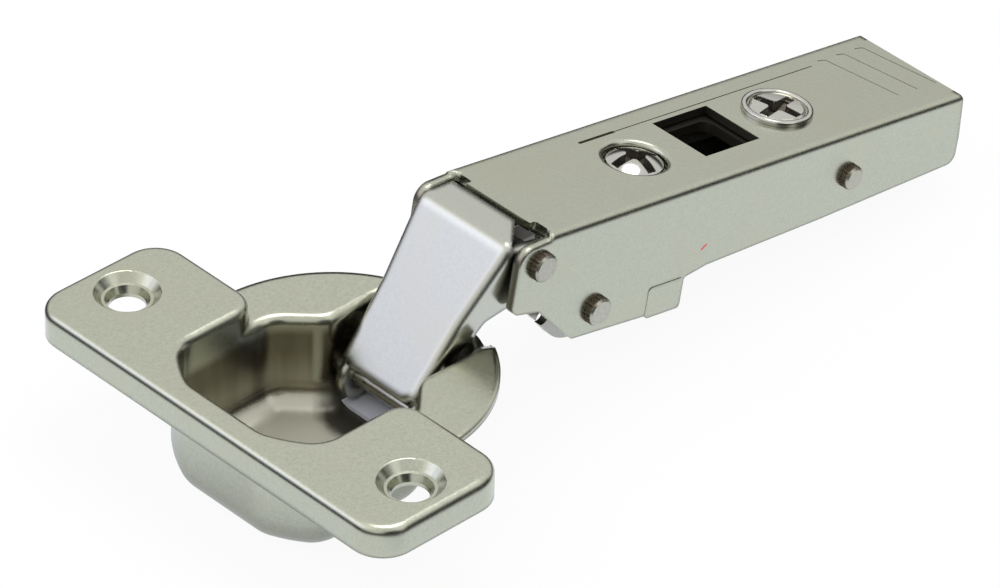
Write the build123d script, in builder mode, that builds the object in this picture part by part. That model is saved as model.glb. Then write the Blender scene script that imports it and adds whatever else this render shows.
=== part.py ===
"""Concealed cup hinge for a furniture door, shown open. All sizes are in millimetres.

Frame: the origin is where the cup's axis meets the door's face. +X points from the cup towards
the arm, +Y along the line of the two flange screws, +Z out of the door's face.
Closing turns the arm from +X towards +Z and over the cup.
"""

import os
from math import acos, atan2, cos, degrees, hypot, pi, radians, sin, tan

from build123d import *

os.makedirs("parts", exist_ok=True)

# ---------------------------------------------------------------- sizes: cup
CUP_SHEET = 1.0
DRILLED_HOLE = 35.0
CUP_DEPTH = 11.3
BODY_R = DRILLED_HOLE / 2 - 0.1
RIM_R = 17.9
RIM_TOP = 0.82
RIM_RELIEF = 0.05

TRAY_FRONT = -18.74
TRAY_REAR = -0.28
TRAY_END = 5.4
TRAY_TOP = 3.7
TRAY_CORNER = 4.0
TRAY_EDGE = 0.8

POCKET_FRONT = -15.4
POCKET_HALF = 11.5
POCKET_CORNER = 4.0
SHOULDER_CLEAR = 0.14
SHOULDER_X = 1.4
NECK_CORNER = 3.3
NECK_X = 5.9
NECK_HALF = 7.15
NECK_END = 15.9
BODY_ROUND = 4.2
FLOOR_ROUND = 2.9
MOUTH_ROUND = 3.0
SHOULDER_TURN = atan2(POCKET_HALF - NECK_HALF, NECK_X - SHOULDER_X)
SHOULDER_CORNER = (SHOULDER_X - TRAY_REAR - SHOULDER_CLEAR) / tan(SHOULDER_TURN / 2)
LIP_ROUND = 0.95

SADDLE_TOP = -0.35
SADDLE_FLAT_HALF = 6.4
SADDLE_FULL_HALF = 8.9
SADDLE_R = 17.35

SCREW_SPACING = 45.0
TRAY_HALF = SCREW_SPACING / 2 + TRAY_END
SCREW_X = -9.5
SCREW_HOLE = 4.1
SINK_TOP = 7.5
SINK_STEP = 5.7
SINK_STEP_DEEP = 0.95
SINK_DEEP = 1.8
SINK_EDGE = 0.3
DIMPLE_DEEP = 1.25

BUFFER_FRONT = 6.6
BUFFER_REAR = 14.7
BUFFER_THICK = 0.55
BUFFER_CLEAR = 0.25

# ------------------------------------------------------------ sizes: linkage
OUTER_EYE_LOW = 2.7
PIN_1 = (8.4, -CUP_DEPTH + CUP_SHEET + BUFFER_THICK + BUFFER_CLEAR + OUTER_EYE_LOW)
PIN_2 = (PIN_1[0] + 3.2, PIN_1[1] + 4.0)
RIVET_A = (22.5, 8.25)
RIVET_B = (30.85, -1.6)

SHACKLE_R = 1.0
SHACKLE_OUT = 1.9
SHACKLE_END = 0.4
SHACKLE_BEND = 1.5
RIVET_R = 1.25
RIVET_HEAD_R = 1.6
RIVET_HEAD = 1.0
TURN_CLEAR = 0.05
SEAT = 0.02

LINK_SHEET = 1.0
WEB_LOW = (0.5, 3.8)
WEB_BEND = (20.78, 4.75)
WEB_BEND_R = 1.6
WEB_TAB_HALF = 4.2
WEB_TAB_CUT = 0.6
LIP_END = (23.3, 1.3)
OUTER_HALF_FOOT = 5.65
OUTER_HALF_WAIST = 6.15
OUTER_HALF_TOP = 7.1
OUTER_WAIST = 10.5
OUTER_WIDE_FROM = 19.0
OUTER_EDGE = 0.75
OUTER_EYE_TOP = 4.4
LIP_RELIEF_DEEP = 1.4

INNER_EYE_LOW = 1.9
INNER_EYE_TOP = 5.0
HEEL_LINE = (0.603, 0.798)
INNER_HALF_LOW = 4.65
INNER_HALF_TOP = 5.3
SLOT_BACK = 0.98
SLOT_FRONT = 2.49
SLOT_LOW = 0.29
SLOT_HIGH = 0.46
SLOT_CLEAR = 0.15
ARCH_SHEET = 1.15
ARCH_START = (-1.75, 0.75)
ARCH_CROWN = (6.6, 8.0)
ARCH_SADDLE = (-5.2, 5.55)
ARCH_END = (1.2, 4.85)
SPRING_HOLE = (25.85, -2.0)
SPRING_HOLE_R = 0.95

# ---------------------------------------------------------------- sizes: arm
ARM_TILT = 10.02
ARM_CORNER = (23.98, 11.34)
ARM_SHEET = 1.0
ARM_HALF = 8.39
ARM_LENGTH = 65.78
ARM_SLANT = 0.5
ARM_BEND = 0.6
WALL_DEEP = 15.04
WALL_FRONT_DEEP = 14.42
WALL_REAR_DEEP = 8.6
LOBE_FRONT = -4.36
LOBE_SHOULDER = -0.5
LOBE_TOP = -0.82
LOBE_TOP_ROUND = 1.9
LOBE_FOOT = -8.66
LOBE_ROUND = 1.3
CHAMFER_TOP = (0.04, -9.34)
CHAMFER_FOOT_U = 5.89
STEP_U = 22.69
STEP_W = -11.49
HAUNCH = (26.2, -10.82)
WAIST = (44.0, -10.0)
PAD_U = 17.29
PAD_W = -11.32
PAD_PROUD = 0.08
NOTCH_DEEP = 0.84
NOTCH_FROM = 4.95
NOTCH_TO = 7.0
GROOVE_WIDE = 0.16
GROOVE_DEEP = 0.08
GROOVE_Y = 5.45
RIB_U = 57.15
RIB_PITCH = 3.07
RIB_SLANT = 1.5
RIB_FAR = 5.75
RIB_NEAR = -4.45
PANEL_FRONT = 17.55
PANEL_REAR = 54.7
SLIT_LONG = 5.5
SLIT_WIDE = 0.4
SLIT_DEEP = 0.3

FRONT_SCREW_U = 21.0
REAR_SCREW_U = 43.4
SEAT_HOLE_R = 3.6
SEAT_ROUND = 0.6
WINDOW_U = 32.55
WINDOW_Y = 0.45
WINDOW = 8.5
CATCH_PIN = (47.72, -5.42)
CATCH_PIN_R = 1.0
CATCH_HEAD_R = 1.35

# ------------------------------------------- sizes: carrier, screws and catch
CARRIER_GAP = 0.25
CARRIER_SHEET = 1.2
CARRIER_FRONT = 17.0
CARRIER_REAR = 63.4
TONGUE_REAR = 24.6
TONGUE_FOOT = -13.2
HOOK_W = -10.9
HOOK_DEEP = 3.4
HOOK_GAP = 2.2
DEPTH_TRAVEL = 1.5

SCREW_HEAD_R = 3.3
SCREW_SHANK_R = 2.0
SCREW_FOOT = -9.2
CROSS_WIDE = 1.35
CROSS_SPAN = 5.5
FRONT_CROSS_TURN = 10.0
REAR_CROSS_TURN = -16.0
CAM_RING_R = 4.1
CAM_DISC_R = 3.25
CAM_PROUD = 0.65
CAM_NECK_R = 2.5
CAM_PLATE_R = 3.4
CAM_PLATE = 0.7
CAM_OFFSET = 0.5
HEAD_TOP = 0.3
HEAD_EDGE = -0.45

LEVER_HALF = 5.45
LEVER_SHEET = 1.0
LEVER_NOSE = (31.2, -6.3)
LEVER_NOSE_R = 1.5
LEVER_REAR = 64.2
LEVER_FOOT = -8.35
LEVER_FLOOR = 0.85
LEVER_ROOM = 8.0

SPRING_COIL_R = 2.35
SPRING_WIRE_R = 0.5
SPRING_PITCH = 1.1
SPRING_TURNS = 3
CATCH_COIL_R = 1.5
CATCH_WIRE_R = 0.3
CATCH_PITCH = 0.8
CATCH_TURNS = 3

# ------------------------------------------------------------ derived planes
LINK_ANGLE = atan2(RIVET_A[1] - PIN_1[1], RIVET_A[0] - PIN_1[0])
LINK_LENGTH = hypot(RIVET_A[0] - PIN_1[0], RIVET_A[1] - PIN_1[1])
TILT = radians(ARM_TILT)

link_side = Plane(
    origin=(PIN_1[0], 0, PIN_1[1]),
    x_dir=(cos(LINK_ANGLE), 0, sin(LINK_ANGLE)),
    z_dir=(0, -1, 0),
)
link_plan = Plane(
    origin=(PIN_1[0], 0, PIN_1[1]),
    x_dir=(cos(LINK_ANGLE), 0, sin(LINK_ANGLE)),
    z_dir=(-sin(LINK_ANGLE), 0, cos(LINK_ANGLE)),
)
arm_side = Plane(
    origin=(ARM_CORNER[0], 0, ARM_CORNER[1]),
    x_dir=(cos(TILT), 0, -sin(TILT)),
    z_dir=(0, -1, 0),
)
arm_top = Plane(
    origin=(ARM_CORNER[0], 0, ARM_CORNER[1]),
    x_dir=(cos(TILT), 0, -sin(TILT)),
    z_dir=(sin(TILT), 0, cos(TILT)),
)
cup_side = Plane.XZ


def in_arm(point):
    """Return a point of the XZ plane in the arm's own (u, w) coordinates."""
    dx = point[0] - ARM_CORNER[0]
    dz = point[1] - ARM_CORNER[1]
    return (dx * cos(TILT) - dz * sin(TILT), dx * sin(TILT) + dz * cos(TILT))


RIVET_A_UW = in_arm(RIVET_A)
RIVET_B_UW = in_arm(RIVET_B)


# ======================================================================= cup
def pocket_plan(grow):
    """Return the plan of the cup's hollow, grown outwards by a sheet thickness or less."""
    with BuildSketch(mode=Mode.PRIVATE) as plan:
        with BuildLine():
            Polyline(
                (POCKET_FRONT, -POCKET_HALF),
                (SHOULDER_X, -POCKET_HALF),
                (NECK_X, -NECK_HALF),
                (NECK_END, -NECK_HALF),
                (NECK_END, NECK_HALF),
                (NECK_X, NECK_HALF),
                (SHOULDER_X, POCKET_HALF),
                (POCKET_FRONT, POCKET_HALF),
                close=True,
            )
        make_face()
        Circle(BODY_R - CUP_SHEET, mode=Mode.INTERSECT)
        fillet(plan.vertices().filter_by(lambda v: v.X < SHOULDER_X - 1), POCKET_CORNER)
        fillet(plan.vertices().filter_by(lambda v: abs(v.X - SHOULDER_X) < 0.01), SHOULDER_CORNER)
        fillet(plan.vertices().filter_by(lambda v: v.X > NECK_END - 3), NECK_CORNER)
        waist = plan.vertices().filter_by(
            lambda v: abs(v.X - NECK_X) < 0.01 and abs(abs(v.Y) - NECK_HALF) < 0.01
        )
        fillet(waist, MOUTH_ROUND)
        if grow != 0:
            offset(amount=grow, kind=Kind.ARC)
    return plan.sketch


def pocket_block(name, grow, foot, top, rounding):
    """Return the cup's hollow or its outside as a block with a rounded foot."""
    with BuildPart(mode=Mode.PRIVATE) as block:
        with BuildSketch(Plane.XY.offset(foot)):
            add(pocket_plan(grow))
        extrude(amount=top - foot)
        fillet(block.faces().sort_by(Axis.Z)[0].edges(), rounding)
    block.part.label = name
    return block.part


cup_hollow = pocket_block("hollow", 0, -CUP_DEPTH + CUP_SHEET, 9.0, FLOOR_ROUND)
cup_outside = pocket_block("outside", CUP_SHEET, -CUP_DEPTH, RIM_TOP, BODY_ROUND)


def tray_plan(grow):
    """Return the flange tray's plan with the pocket's mouth taken out of its rear edge."""
    with BuildSketch(mode=Mode.PRIVATE) as plan:
        with Locations(((TRAY_FRONT + TRAY_REAR) / 2, 0)):
            Rectangle(TRAY_REAR - TRAY_FRONT, 2 * TRAY_HALF)
        fillet(plan.vertices(), TRAY_CORNER)
        add(pocket_plan(0), mode=Mode.SUBTRACT)
        mouth = plan.vertices().filter_by(
            lambda v: abs(v.X - TRAY_REAR) < 0.01 and abs(v.Y) < POCKET_HALF + 0.1
        )
        fillet(mouth, MOUTH_ROUND)
        if grow != 0:
            offset(amount=grow, kind=Kind.ARC)
    return plan.sketch


with BuildPart() as flange_tray:
    with BuildSketch(Plane.XY):
        add(tray_plan(0))
    extrude(amount=TRAY_TOP)
    fillet(flange_tray.faces().sort_by(Axis.Z)[-1].edges(), TRAY_EDGE)
    with BuildSketch(Plane.XY):
        add(tray_plan(-CUP_SHEET))
    extrude(amount=TRAY_TOP - CUP_SHEET, mode=Mode.SUBTRACT)

SADDLE_FRONT = NECK_END - 3.5
SADDLE_BACK = NECK_END + 0.3
SADDLE_RISE = RIM_TOP + 0.02

with BuildPart() as saddle_cutter:
    with BuildSketch(Plane.YZ.offset(SADDLE_FRONT)):
        Polygon(
            (-SADDLE_FULL_HALF + 1.9, SADDLE_RISE + 0.08),
            (-SADDLE_FULL_HALF + 2.0, SADDLE_RISE),
            (SADDLE_FULL_HALF - 2.0, SADDLE_RISE),
            (SADDLE_FULL_HALF - 1.9, SADDLE_RISE + 0.08),
            (SADDLE_FULL_HALF - 1.9, TRAY_TOP),
            (-SADDLE_FULL_HALF + 1.9, TRAY_TOP),
            align=None,
        )
    with BuildSketch(Plane.YZ.offset(SADDLE_BACK)) as saddle_line:
        Polygon(
            (-SADDLE_FULL_HALF, SADDLE_RISE),
            (-SADDLE_FLAT_HALF, SADDLE_TOP),
            (SADDLE_FLAT_HALF, SADDLE_TOP),
            (SADDLE_FULL_HALF, SADDLE_RISE),
            (SADDLE_FULL_HALF, TRAY_TOP),
            (-SADDLE_FULL_HALF, TRAY_TOP),
            align=None,
        )
    loft(ruled=True)
    with BuildSketch(Plane.YZ.offset(SADDLE_BACK)):
        add(saddle_line.sketch_local)
    extrude(amount=4)

with BuildPart() as saddle_flange:
    with BuildSketch(Plane.YZ.offset(NECK_END - 1)):
        Polygon(
            (-SADDLE_FULL_HALF, RIM_TOP - 0.1),
            (-SADDLE_FULL_HALF, 0.0),
            (-SADDLE_FLAT_HALF, SADDLE_TOP - CUP_SHEET),
            (SADDLE_FLAT_HALF, SADDLE_TOP - CUP_SHEET),
            (SADDLE_FULL_HALF, 0.0),
            (SADDLE_FULL_HALF, RIM_TOP - 0.1),
            align=None,
        )
    extrude(amount=SADDLE_R - NECK_END + 1)
    with BuildSketch(Plane.XY.offset(-CUP_DEPTH)):
        Circle(SADDLE_R)
    extrude(amount=CUP_DEPTH + RIM_TOP, mode=Mode.INTERSECT)

with BuildPart() as hinge_cup:
    # rim disc behind the tray
    with BuildSketch(Plane.XY):
        Circle(RIM_R)
        with Locations((TRAY_REAR - CUP_SHEET - RIM_R, 0)):
            Rectangle(2 * RIM_R, 3 * RIM_R, mode=Mode.SUBTRACT)
    extrude(amount=RIM_TOP)
    add(saddle_flange.part)
    # drawn body
    add(cup_outside)
    add(cup_hollow, mode=Mode.SUBTRACT)
    lip = (
        hinge_cup.edges()
        .filter_by(lambda e: abs(e.bounding_box().min.Z - RIM_TOP) < 0.01)
        .filter_by(lambda e: abs(e.bounding_box().max.Z - RIM_TOP) < 0.01)
        .filter_by(lambda e: hypot(e.center().X, e.center().Y) < RIM_R - 0.4)
        .filter_by(lambda e: e.center().X > POCKET_FRONT + 0.5)
    )
    inner_lip = [e for e in lip if abs(e.center().Y) < POCKET_HALF + 0.1 and e.center().X > -6]
    fillet(inner_lip, LIP_ROUND)
    add(saddle_cutter.part, mode=Mode.SUBTRACT)
    add(flange_tray.part)
    # relief over the drilled hole, so that the rim seats on the door round it
    with BuildSketch(Plane.XY):
        Circle(DRILLED_HOLE / 2)
        add(pocket_plan(CUP_SHEET), mode=Mode.SUBTRACT)
        with Locations((SADDLE_R, 0)):
            Rectangle(2 * (SADDLE_R - NECK_END + 1), 2 * SADDLE_FULL_HALF, mode=Mode.SUBTRACT)
    extrude(amount=RIM_RELIEF, mode=Mode.SUBTRACT)
    # dimpled screw seats
    with BuildSketch(Plane.XY.offset(TRAY_TOP - CUP_SHEET)):
        with Locations((SCREW_X, -SCREW_SPACING / 2), (SCREW_X, SCREW_SPACING / 2)):
            Circle(SINK_TOP / 2 + 0.4)
    extrude(amount=-DIMPLE_DEEP, taper=25)
    for side in (-1, 1):
        with BuildSketch(Plane.XZ.offset(-side * SCREW_SPACING / 2)) as sink:
            with Locations((SCREW_X, TRAY_TOP)):
                Polygon(
                    (0, 0),
                    (SINK_TOP / 2, 0),
                    (SINK_STEP / 2, -SINK_STEP_DEEP),
                    (SINK_STEP / 2 - 0.35, -SINK_STEP_DEEP - 0.05),
                    (SCREW_HOLE / 2, -SINK_DEEP),
                    (SCREW_HOLE / 2, -4 * SINK_DEEP),
                    (0, -4 * SINK_DEEP),
                    align=None,
                )
        seat_line = Axis((SCREW_X, side * SCREW_SPACING / 2, 0), (0, 0, 1))
        revolve(axis=seat_line, mode=Mode.SUBTRACT)
    sink_rims = hinge_cup.edges().filter_by(GeomType.CIRCLE).filter_by(
        lambda e: abs(e.center().Z - TRAY_TOP) < 0.01 and abs(e.radius - SINK_TOP / 2) < 0.01
    )
    fillet(sink_rims, SINK_EDGE)
    # holes for the shackle's two legs
    with BuildSketch(cup_side):
        with Locations(PIN_1, PIN_2):
            Circle(SHACKLE_R + SEAT)
    extrude(amount=NECK_HALF + 3, both=True, mode=Mode.SUBTRACT)

hinge_cup.part.label = "hinge_cup"
export_step(hinge_cup.part, "parts/hinge_cup.step")

# -------------------------------------------------------------- shackle pin
LEG_END = NECK_HALF + CUP_SHEET + SHACKLE_END
BRIDGE_Y = NECK_HALF + CUP_SHEET + SHACKLE_OUT

with BuildPart() as cup_shackle_pin:
    with BuildLine() as shackle_path:
        FilletPolyline(
            (PIN_1[0], -LEG_END, PIN_1[1]),
            (PIN_1[0], BRIDGE_Y, PIN_1[1]),
            (PIN_2[0], BRIDGE_Y, PIN_2[1]),
            (PIN_2[0], -LEG_END, PIN_2[1]),
            radius=SHACKLE_BEND,
        )
    with BuildSketch(Plane(origin=(PIN_1[0], -LEG_END, PIN_1[1]), z_dir=(0, 1, 0))):
        Circle(SHACKLE_R)
    sweep(path=shackle_path.line)

cup_shackle_pin.part.label = "cup_shackle_pin"
export_step(cup_shackle_pin.part, "parts/cup_shackle_pin.step")

# ---------------------------------------------------------------- floor pad
PAD_PLATE_TOP = -CUP_DEPTH + CUP_SHEET + BUFFER_THICK

pad_room = pocket_block("pad_room", -0.06, -CUP_DEPTH + CUP_SHEET + SEAT, 0.0, FLOOR_ROUND)

with BuildPart() as cup_buffer_pad:
    add(pad_room)
    with BuildSketch(Plane.XY.offset(-CUP_DEPTH)):
        with Locations(((BUFFER_FRONT + BUFFER_REAR) / 2, 0)):
            Rectangle(BUFFER_REAR - BUFFER_FRONT, 4 * NECK_HALF)
    extrude(amount=PAD_PLATE_TOP + CUP_DEPTH, mode=Mode.INTERSECT)

cup_buffer_pad.part.label = "cup_buffer_pad"
export_step(cup_buffer_pad.part, "parts/cup_buffer_pad.step")


# ================================================================ outer link
def outer_shell(name, inset, edge_round):
    """Return the tapered block that lies inside the outer link's web, lip and flanges."""
    rise = (WEB_BEND[1] - WEB_LOW[1]) / (WEB_BEND[0] - WEB_LOW[0])
    fall = (LIP_END[1] - WEB_BEND[1]) / (LIP_END[0] - WEB_BEND[0])
    low_s = -6.0
    web_line = inset * hypot(1, rise)
    lip_line = inset * hypot(1, fall)
    low_q = WEB_LOW[1] + rise * (low_s - WEB_LOW[0]) - web_line
    end_s = LIP_END[0] + 3.5
    end_q = LIP_END[1] + fall * (end_s - LIP_END[0]) - lip_line
    bend_s = (WEB_BEND[0] * (rise - fall) + web_line - lip_line) / (rise - fall)
    bend_q = WEB_BEND[1] + rise * (bend_s - WEB_BEND[0]) - web_line
    foot_half = OUTER_HALF_FOOT - inset
    waist_half = OUTER_HALF_WAIST - inset
    top_half = OUTER_HALF_TOP - inset
    with BuildPart(mode=Mode.PRIVATE) as block:
        with BuildSketch(link_side):
            Polygon(
                (low_s, -8), (end_s, -8), (end_s, end_q), (bend_s, bend_q), (low_s, low_q), align=None
            )
        extrude(amount=12, both=True)
        with BuildSketch(link_plan) as plan:
            Polygon(
                (low_s - 1, -foot_half),
                (OUTER_WAIST, -waist_half),
                (OUTER_WIDE_FROM, -top_half),
                (end_s + 1, -top_half),
                (end_s + 1, top_half),
                (OUTER_WIDE_FROM, top_half),
                (OUTER_WAIST, waist_half),
                (low_s - 1, foot_half),
                align=None,
            )
            kinks = plan.vertices().filter_by(lambda v: OUTER_WAIST - 0.1 < v.X < OUTER_WIDE_FROM + 0.1)
            fillet(kinks, 12)
        extrude(amount=20, both=True, mode=Mode.INTERSECT)
        bend = block.edges().filter_by(Axis.Y).filter_by(
            lambda e: abs(link_side.to_local_coords(e.center()).X - bend_s) < 0.3
        )
        outer_bend = bend.filter_by(lambda e: link_side.to_local_coords(e.center()).Y > 0)
        fillet(outer_bend, WEB_BEND_R - inset)
        long_edges = block.edges().filter_by(
            lambda e: abs(e.center().Y) > 2
            and link_side.to_local_coords(e.center()).Y > 0.5
            and link_side.to_local_coords(e.center()).X > low_s + 0.5
            and link_side.to_local_coords(e.center()).X < end_s - 0.3
            and e.bounding_box().size.Y < 3
        )
        fillet(long_edges, edge_round)
    block.part.label = name
    return block.part


outer_block = outer_shell("block", 0, OUTER_EDGE)
outer_room = outer_shell("room", LINK_SHEET, 0.3)

with BuildPart() as outer_link:
    add(outer_block)
    add(outer_room, mode=Mode.SUBTRACT)
    # side outline: web, lip, two eyes, the waist over the rim and the notch over the second pin
    with BuildSketch(link_side) as flange_outline:
        with BuildLine():
            Polyline(
                (WEB_LOW[0], WEB_LOW[1] + 2),
                (WEB_LOW[0], WEB_LOW[1] - LINK_SHEET - 0.1),
                (-1.1, 2.5),
                (0.0, 0.0),
                (2.6, 1.3),
                (4.4, 2.2),
                (7.2, 2.2),
                (9.6, 0.75),
                (12.2, 0.75),
                (17.3, -2.9),
                (LINK_LENGTH, 0.0),
                (LIP_END[0] + 0.2, LIP_END[1] - 0.1),
                (LIP_END[0] + 1.0, LIP_END[1] + 1.0),
                (WEB_BEND[0] + 1.0, WEB_BEND[1] + 2.0),
                close=True,
            )
        make_face()
        waist = flange_outline.vertices().filter_by(lambda v: abs(v.Y - 2.2) < 0.01)
        fillet(waist, 0.9)
        hump = flange_outline.vertices().filter_by(lambda v: abs(v.Y - 0.75) < 0.01)
        fillet(hump, 1.6)
        with Locations((0, 0)):
            Circle(OUTER_EYE_LOW)
        with Locations((LINK_LENGTH, 0)):
            Circle(OUTER_EYE_TOP)
    extrude(amount=12, both=True, mode=Mode.INTERSECT)
    # eyes duck under the arm's top plate
    with BuildSketch(arm_side):
        with Locations((4.55, 0.6)):
            Rectangle(10.1, 3.7)
    extrude(amount=12, both=True, mode=Mode.SUBTRACT)
    # corners of the web's foot are cut back beside the tab
    for side in (-1, 1):
        with BuildSketch(link_plan.offset(WEB_LOW[1] - LINK_SHEET - 0.05)):
            Polygon(
                (WEB_LOW[0] - 0.1, side * WEB_TAB_HALF),
                (WEB_LOW[0] + WEB_TAB_CUT, side * (WEB_TAB_HALF + 0.8)),
                (WEB_LOW[0] + WEB_TAB_CUT, side * (OUTER_HALF_TOP + 1)),
                (WEB_LOW[0] - 0.1, side * (OUTER_HALF_TOP + 1)),
                align=None,
            )
        extrude(amount=4 * LINK_SHEET, mode=Mode.SUBTRACT)
    # relief at one end of the lip
    with BuildSketch(arm_top.offset(-LIP_RELIEF_DEEP)) as relief:
        Polygon(
            (-4.3, -OUTER_HALF_TOP + 0.4),
            (-2.5, -OUTER_HALF_TOP + 1.9),
            (-0.4, -OUTER_HALF_TOP + 4.0),
            (0.6, -OUTER_HALF_TOP + 4.0),
            (0.6, -OUTER_HALF_TOP - 1),
            (-4.3, -OUTER_HALF_TOP - 1),
            align=None,
        )
        fillet(relief.vertices().filter_by(lambda v: abs(v.X + 2.5) < 0.01), 2.0)
    extrude(amount=3 * LIP_RELIEF_DEEP, mode=Mode.SUBTRACT)
    with BuildSketch(link_side):
        with Locations((0, 0)):
            Circle(SHACKLE_R + TURN_CLEAR)
        with Locations((LINK_LENGTH, 0)):
            Circle(RIVET_R + TURN_CLEAR)
    extrude(amount=12, both=True, mode=Mode.SUBTRACT)

outer_link.part.label = "outer_link"
export_step(outer_link.part, "parts/outer_link.step")


# ================================================================ inner link
def inner_plan(inset):
    """Return the inner link's plan, narrow in the cup and wider in the arm."""
    with BuildSketch(mode=Mode.PRIVATE) as plan:
        Polygon(
            (PIN_2[0] - 6, -INNER_HALF_LOW + inset),
            (PIN_2[0] + 4, -INNER_HALF_LOW + inset),
            (RIVET_B[0] - 6, -INNER_HALF_TOP + inset),
            (RIVET_B[0] + 9, -INNER_HALF_TOP + inset),
            (RIVET_B[0] + 9, INNER_HALF_TOP - inset),
            (RIVET_B[0] - 6, INNER_HALF_TOP - inset),
            (PIN_2[0] + 4, INNER_HALF_LOW - inset),
            (PIN_2[0] - 6, INNER_HALF_LOW - inset),
            align=None,
        )
    return plan.sketch


def arch_line(drop):
    """Return the arch's upper line, lowered by `drop`, from the cup's eye to the arm's eye."""
    start = (PIN_2[0] + ARCH_START[0], PIN_2[1] + ARCH_START[1] - drop)
    crown = (PIN_2[0] + ARCH_CROWN[0], PIN_2[1] + ARCH_CROWN[1] - drop)
    saddle = (RIVET_B[0] + ARCH_SADDLE[0], RIVET_B[1] + ARCH_SADDLE[1] - drop)
    finish = (RIVET_B[0] + ARCH_END[0], RIVET_B[1] + ARCH_END[1] - drop)
    with BuildLine(mode=Mode.PRIVATE) as line:
        Spline(start, crown, saddle, finish, tangents=((0.72, 0.78), (1.0, -0.05)))
    return line.line


with BuildPart() as inner_link:
    with BuildSketch(cup_side) as cheek_outline:
        with BuildLine():
            add(arch_line(0))
            Polyline(
                (RIVET_B[0] + ARCH_END[0], RIVET_B[1] + ARCH_END[1]),
                RIVET_B,
                (RIVET_B[0] - INNER_EYE_TOP * HEEL_LINE[1], RIVET_B[1] - INNER_EYE_TOP * HEEL_LINE[0]),
                (RIVET_B[0] - 7.6, RIVET_B[1] + 1.84),
                (RIVET_B[0] - 9.4, RIVET_B[1] + 3.6),
                (RIVET_B[0] - 13.0, RIVET_B[1] + 3.7),
                (PIN_2[0] + 2.6, PIN_2[1] + 1.7),
                (PIN_2[0] + 1.5, PIN_2[1] - 1.1),
                PIN_2,
                (PIN_2[0] + ARCH_START[0], PIN_2[1] + ARCH_START[1]),
            )
        make_face()
        underside = cheek_outline.vertices().filter_by(
            lambda v: RIVET_B[1] + 3.5 < v.Y < RIVET_B[1] + 3.8 or abs(v.Y - RIVET_B[1] - 1.84) < 0.01
        )
        fillet(underside, 2.0)
        with Locations(PIN_2):
            Circle(INNER_EYE_LOW)
        with Locations(RIVET_B):
            Circle(INNER_EYE_TOP)
    extrude(amount=12, both=True)
    with BuildSketch(Plane.XY):
        add(inner_plan(0))
    extrude(amount=40, both=True, mode=Mode.INTERSECT)
    # everything between the cheeks goes, then the web comes back
    with BuildSketch(Plane.XY):
        add(inner_plan(LINK_SHEET))
    extrude(amount=40, both=True, mode=Mode.SUBTRACT)
    with BuildSketch(cup_side) as web_strip:
        with BuildLine():
            add(arch_line(0))
            Line(arch_line(0) @ 1, arch_line(ARCH_SHEET) @ 1)
            add(arch_line(ARCH_SHEET))
            Line(arch_line(ARCH_SHEET) @ 0, arch_line(0) @ 0)
        make_face()
        with Locations((PIN_2[0] - 3.0, PIN_2[1])):
            Rectangle(9.2, 20, mode=Mode.SUBTRACT)
        with Locations((RIVET_B[0] + 1.0, RIVET_B[1])):
            Rectangle(12.0, 20, mode=Mode.SUBTRACT)
    extrude(amount=INNER_HALF_LOW - 0.3, both=True)
    # eye for the second pin, slot round the arm's rivet, and the spring's hole
    with BuildSketch(cup_side):
        with Locations(PIN_2):
            Circle(SHACKLE_R + TURN_CLEAR)
        with Locations(
            (RIVET_B[0] + (SLOT_FRONT - SLOT_BACK) / 2, RIVET_B[1] + (SLOT_HIGH - SLOT_LOW) / 2)
        ):
            RectangleRounded(
                SLOT_BACK + SLOT_FRONT + 2 * (RIVET_R + SLOT_CLEAR),
                SLOT_LOW + SLOT_HIGH + 2 * (RIVET_R + SLOT_CLEAR),
                RIVET_R,
            )
        with Locations(SPRING_HOLE):
            Circle(SPRING_HOLE_R)
    extrude(amount=12, both=True, mode=Mode.SUBTRACT)

inner_link.part.label = "inner_link"
export_step(inner_link.part, "parts/inner_link.step")


# ==================================================================== rivets
def rivet(centre, shank_r, head_r, head):
    """Return a rivet across the arm with a chamfered head outside each wall."""
    wall = ARM_HALF + SEAT
    with BuildPart(mode=Mode.PRIVATE) as pin:
        with BuildSketch(arm_side):
            with Locations(centre):
                Circle(shank_r)
        extrude(amount=wall + head / 2, both=True)
        for side in (-1, 1):
            with BuildSketch(arm_side.offset(side * wall)):
                with Locations(centre):
                    Circle(head_r)
            extrude(amount=side * head)
        rims = pin.edges().filter_by(GeomType.CIRCLE).filter_by(
            lambda e: abs(abs(e.center().Y) - wall - head) < 0.01
        )
        chamfer(rims, 0.22)
    return pin.part


with BuildPart() as outer_link_rivet:
    add(rivet(RIVET_A_UW, RIVET_R, RIVET_HEAD_R, RIVET_HEAD))

outer_link_rivet.part.label = "outer_link_rivet"
export_step(outer_link_rivet.part, "parts/outer_link_rivet.step")

with BuildPart() as inner_link_rivet:
    add(rivet(RIVET_B_UW, RIVET_R, RIVET_HEAD_R, RIVET_HEAD))

inner_link_rivet.part.label = "inner_link_rivet"
export_step(inner_link_rivet.part, "parts/inner_link_rivet.step")

with BuildPart() as catch_pin:
    add(rivet(CATCH_PIN, CATCH_PIN_R, CATCH_HEAD_R, RIVET_HEAD))

catch_pin.part.label = "catch_pin"
export_step(catch_pin.part, "parts/catch_pin.step")

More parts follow.
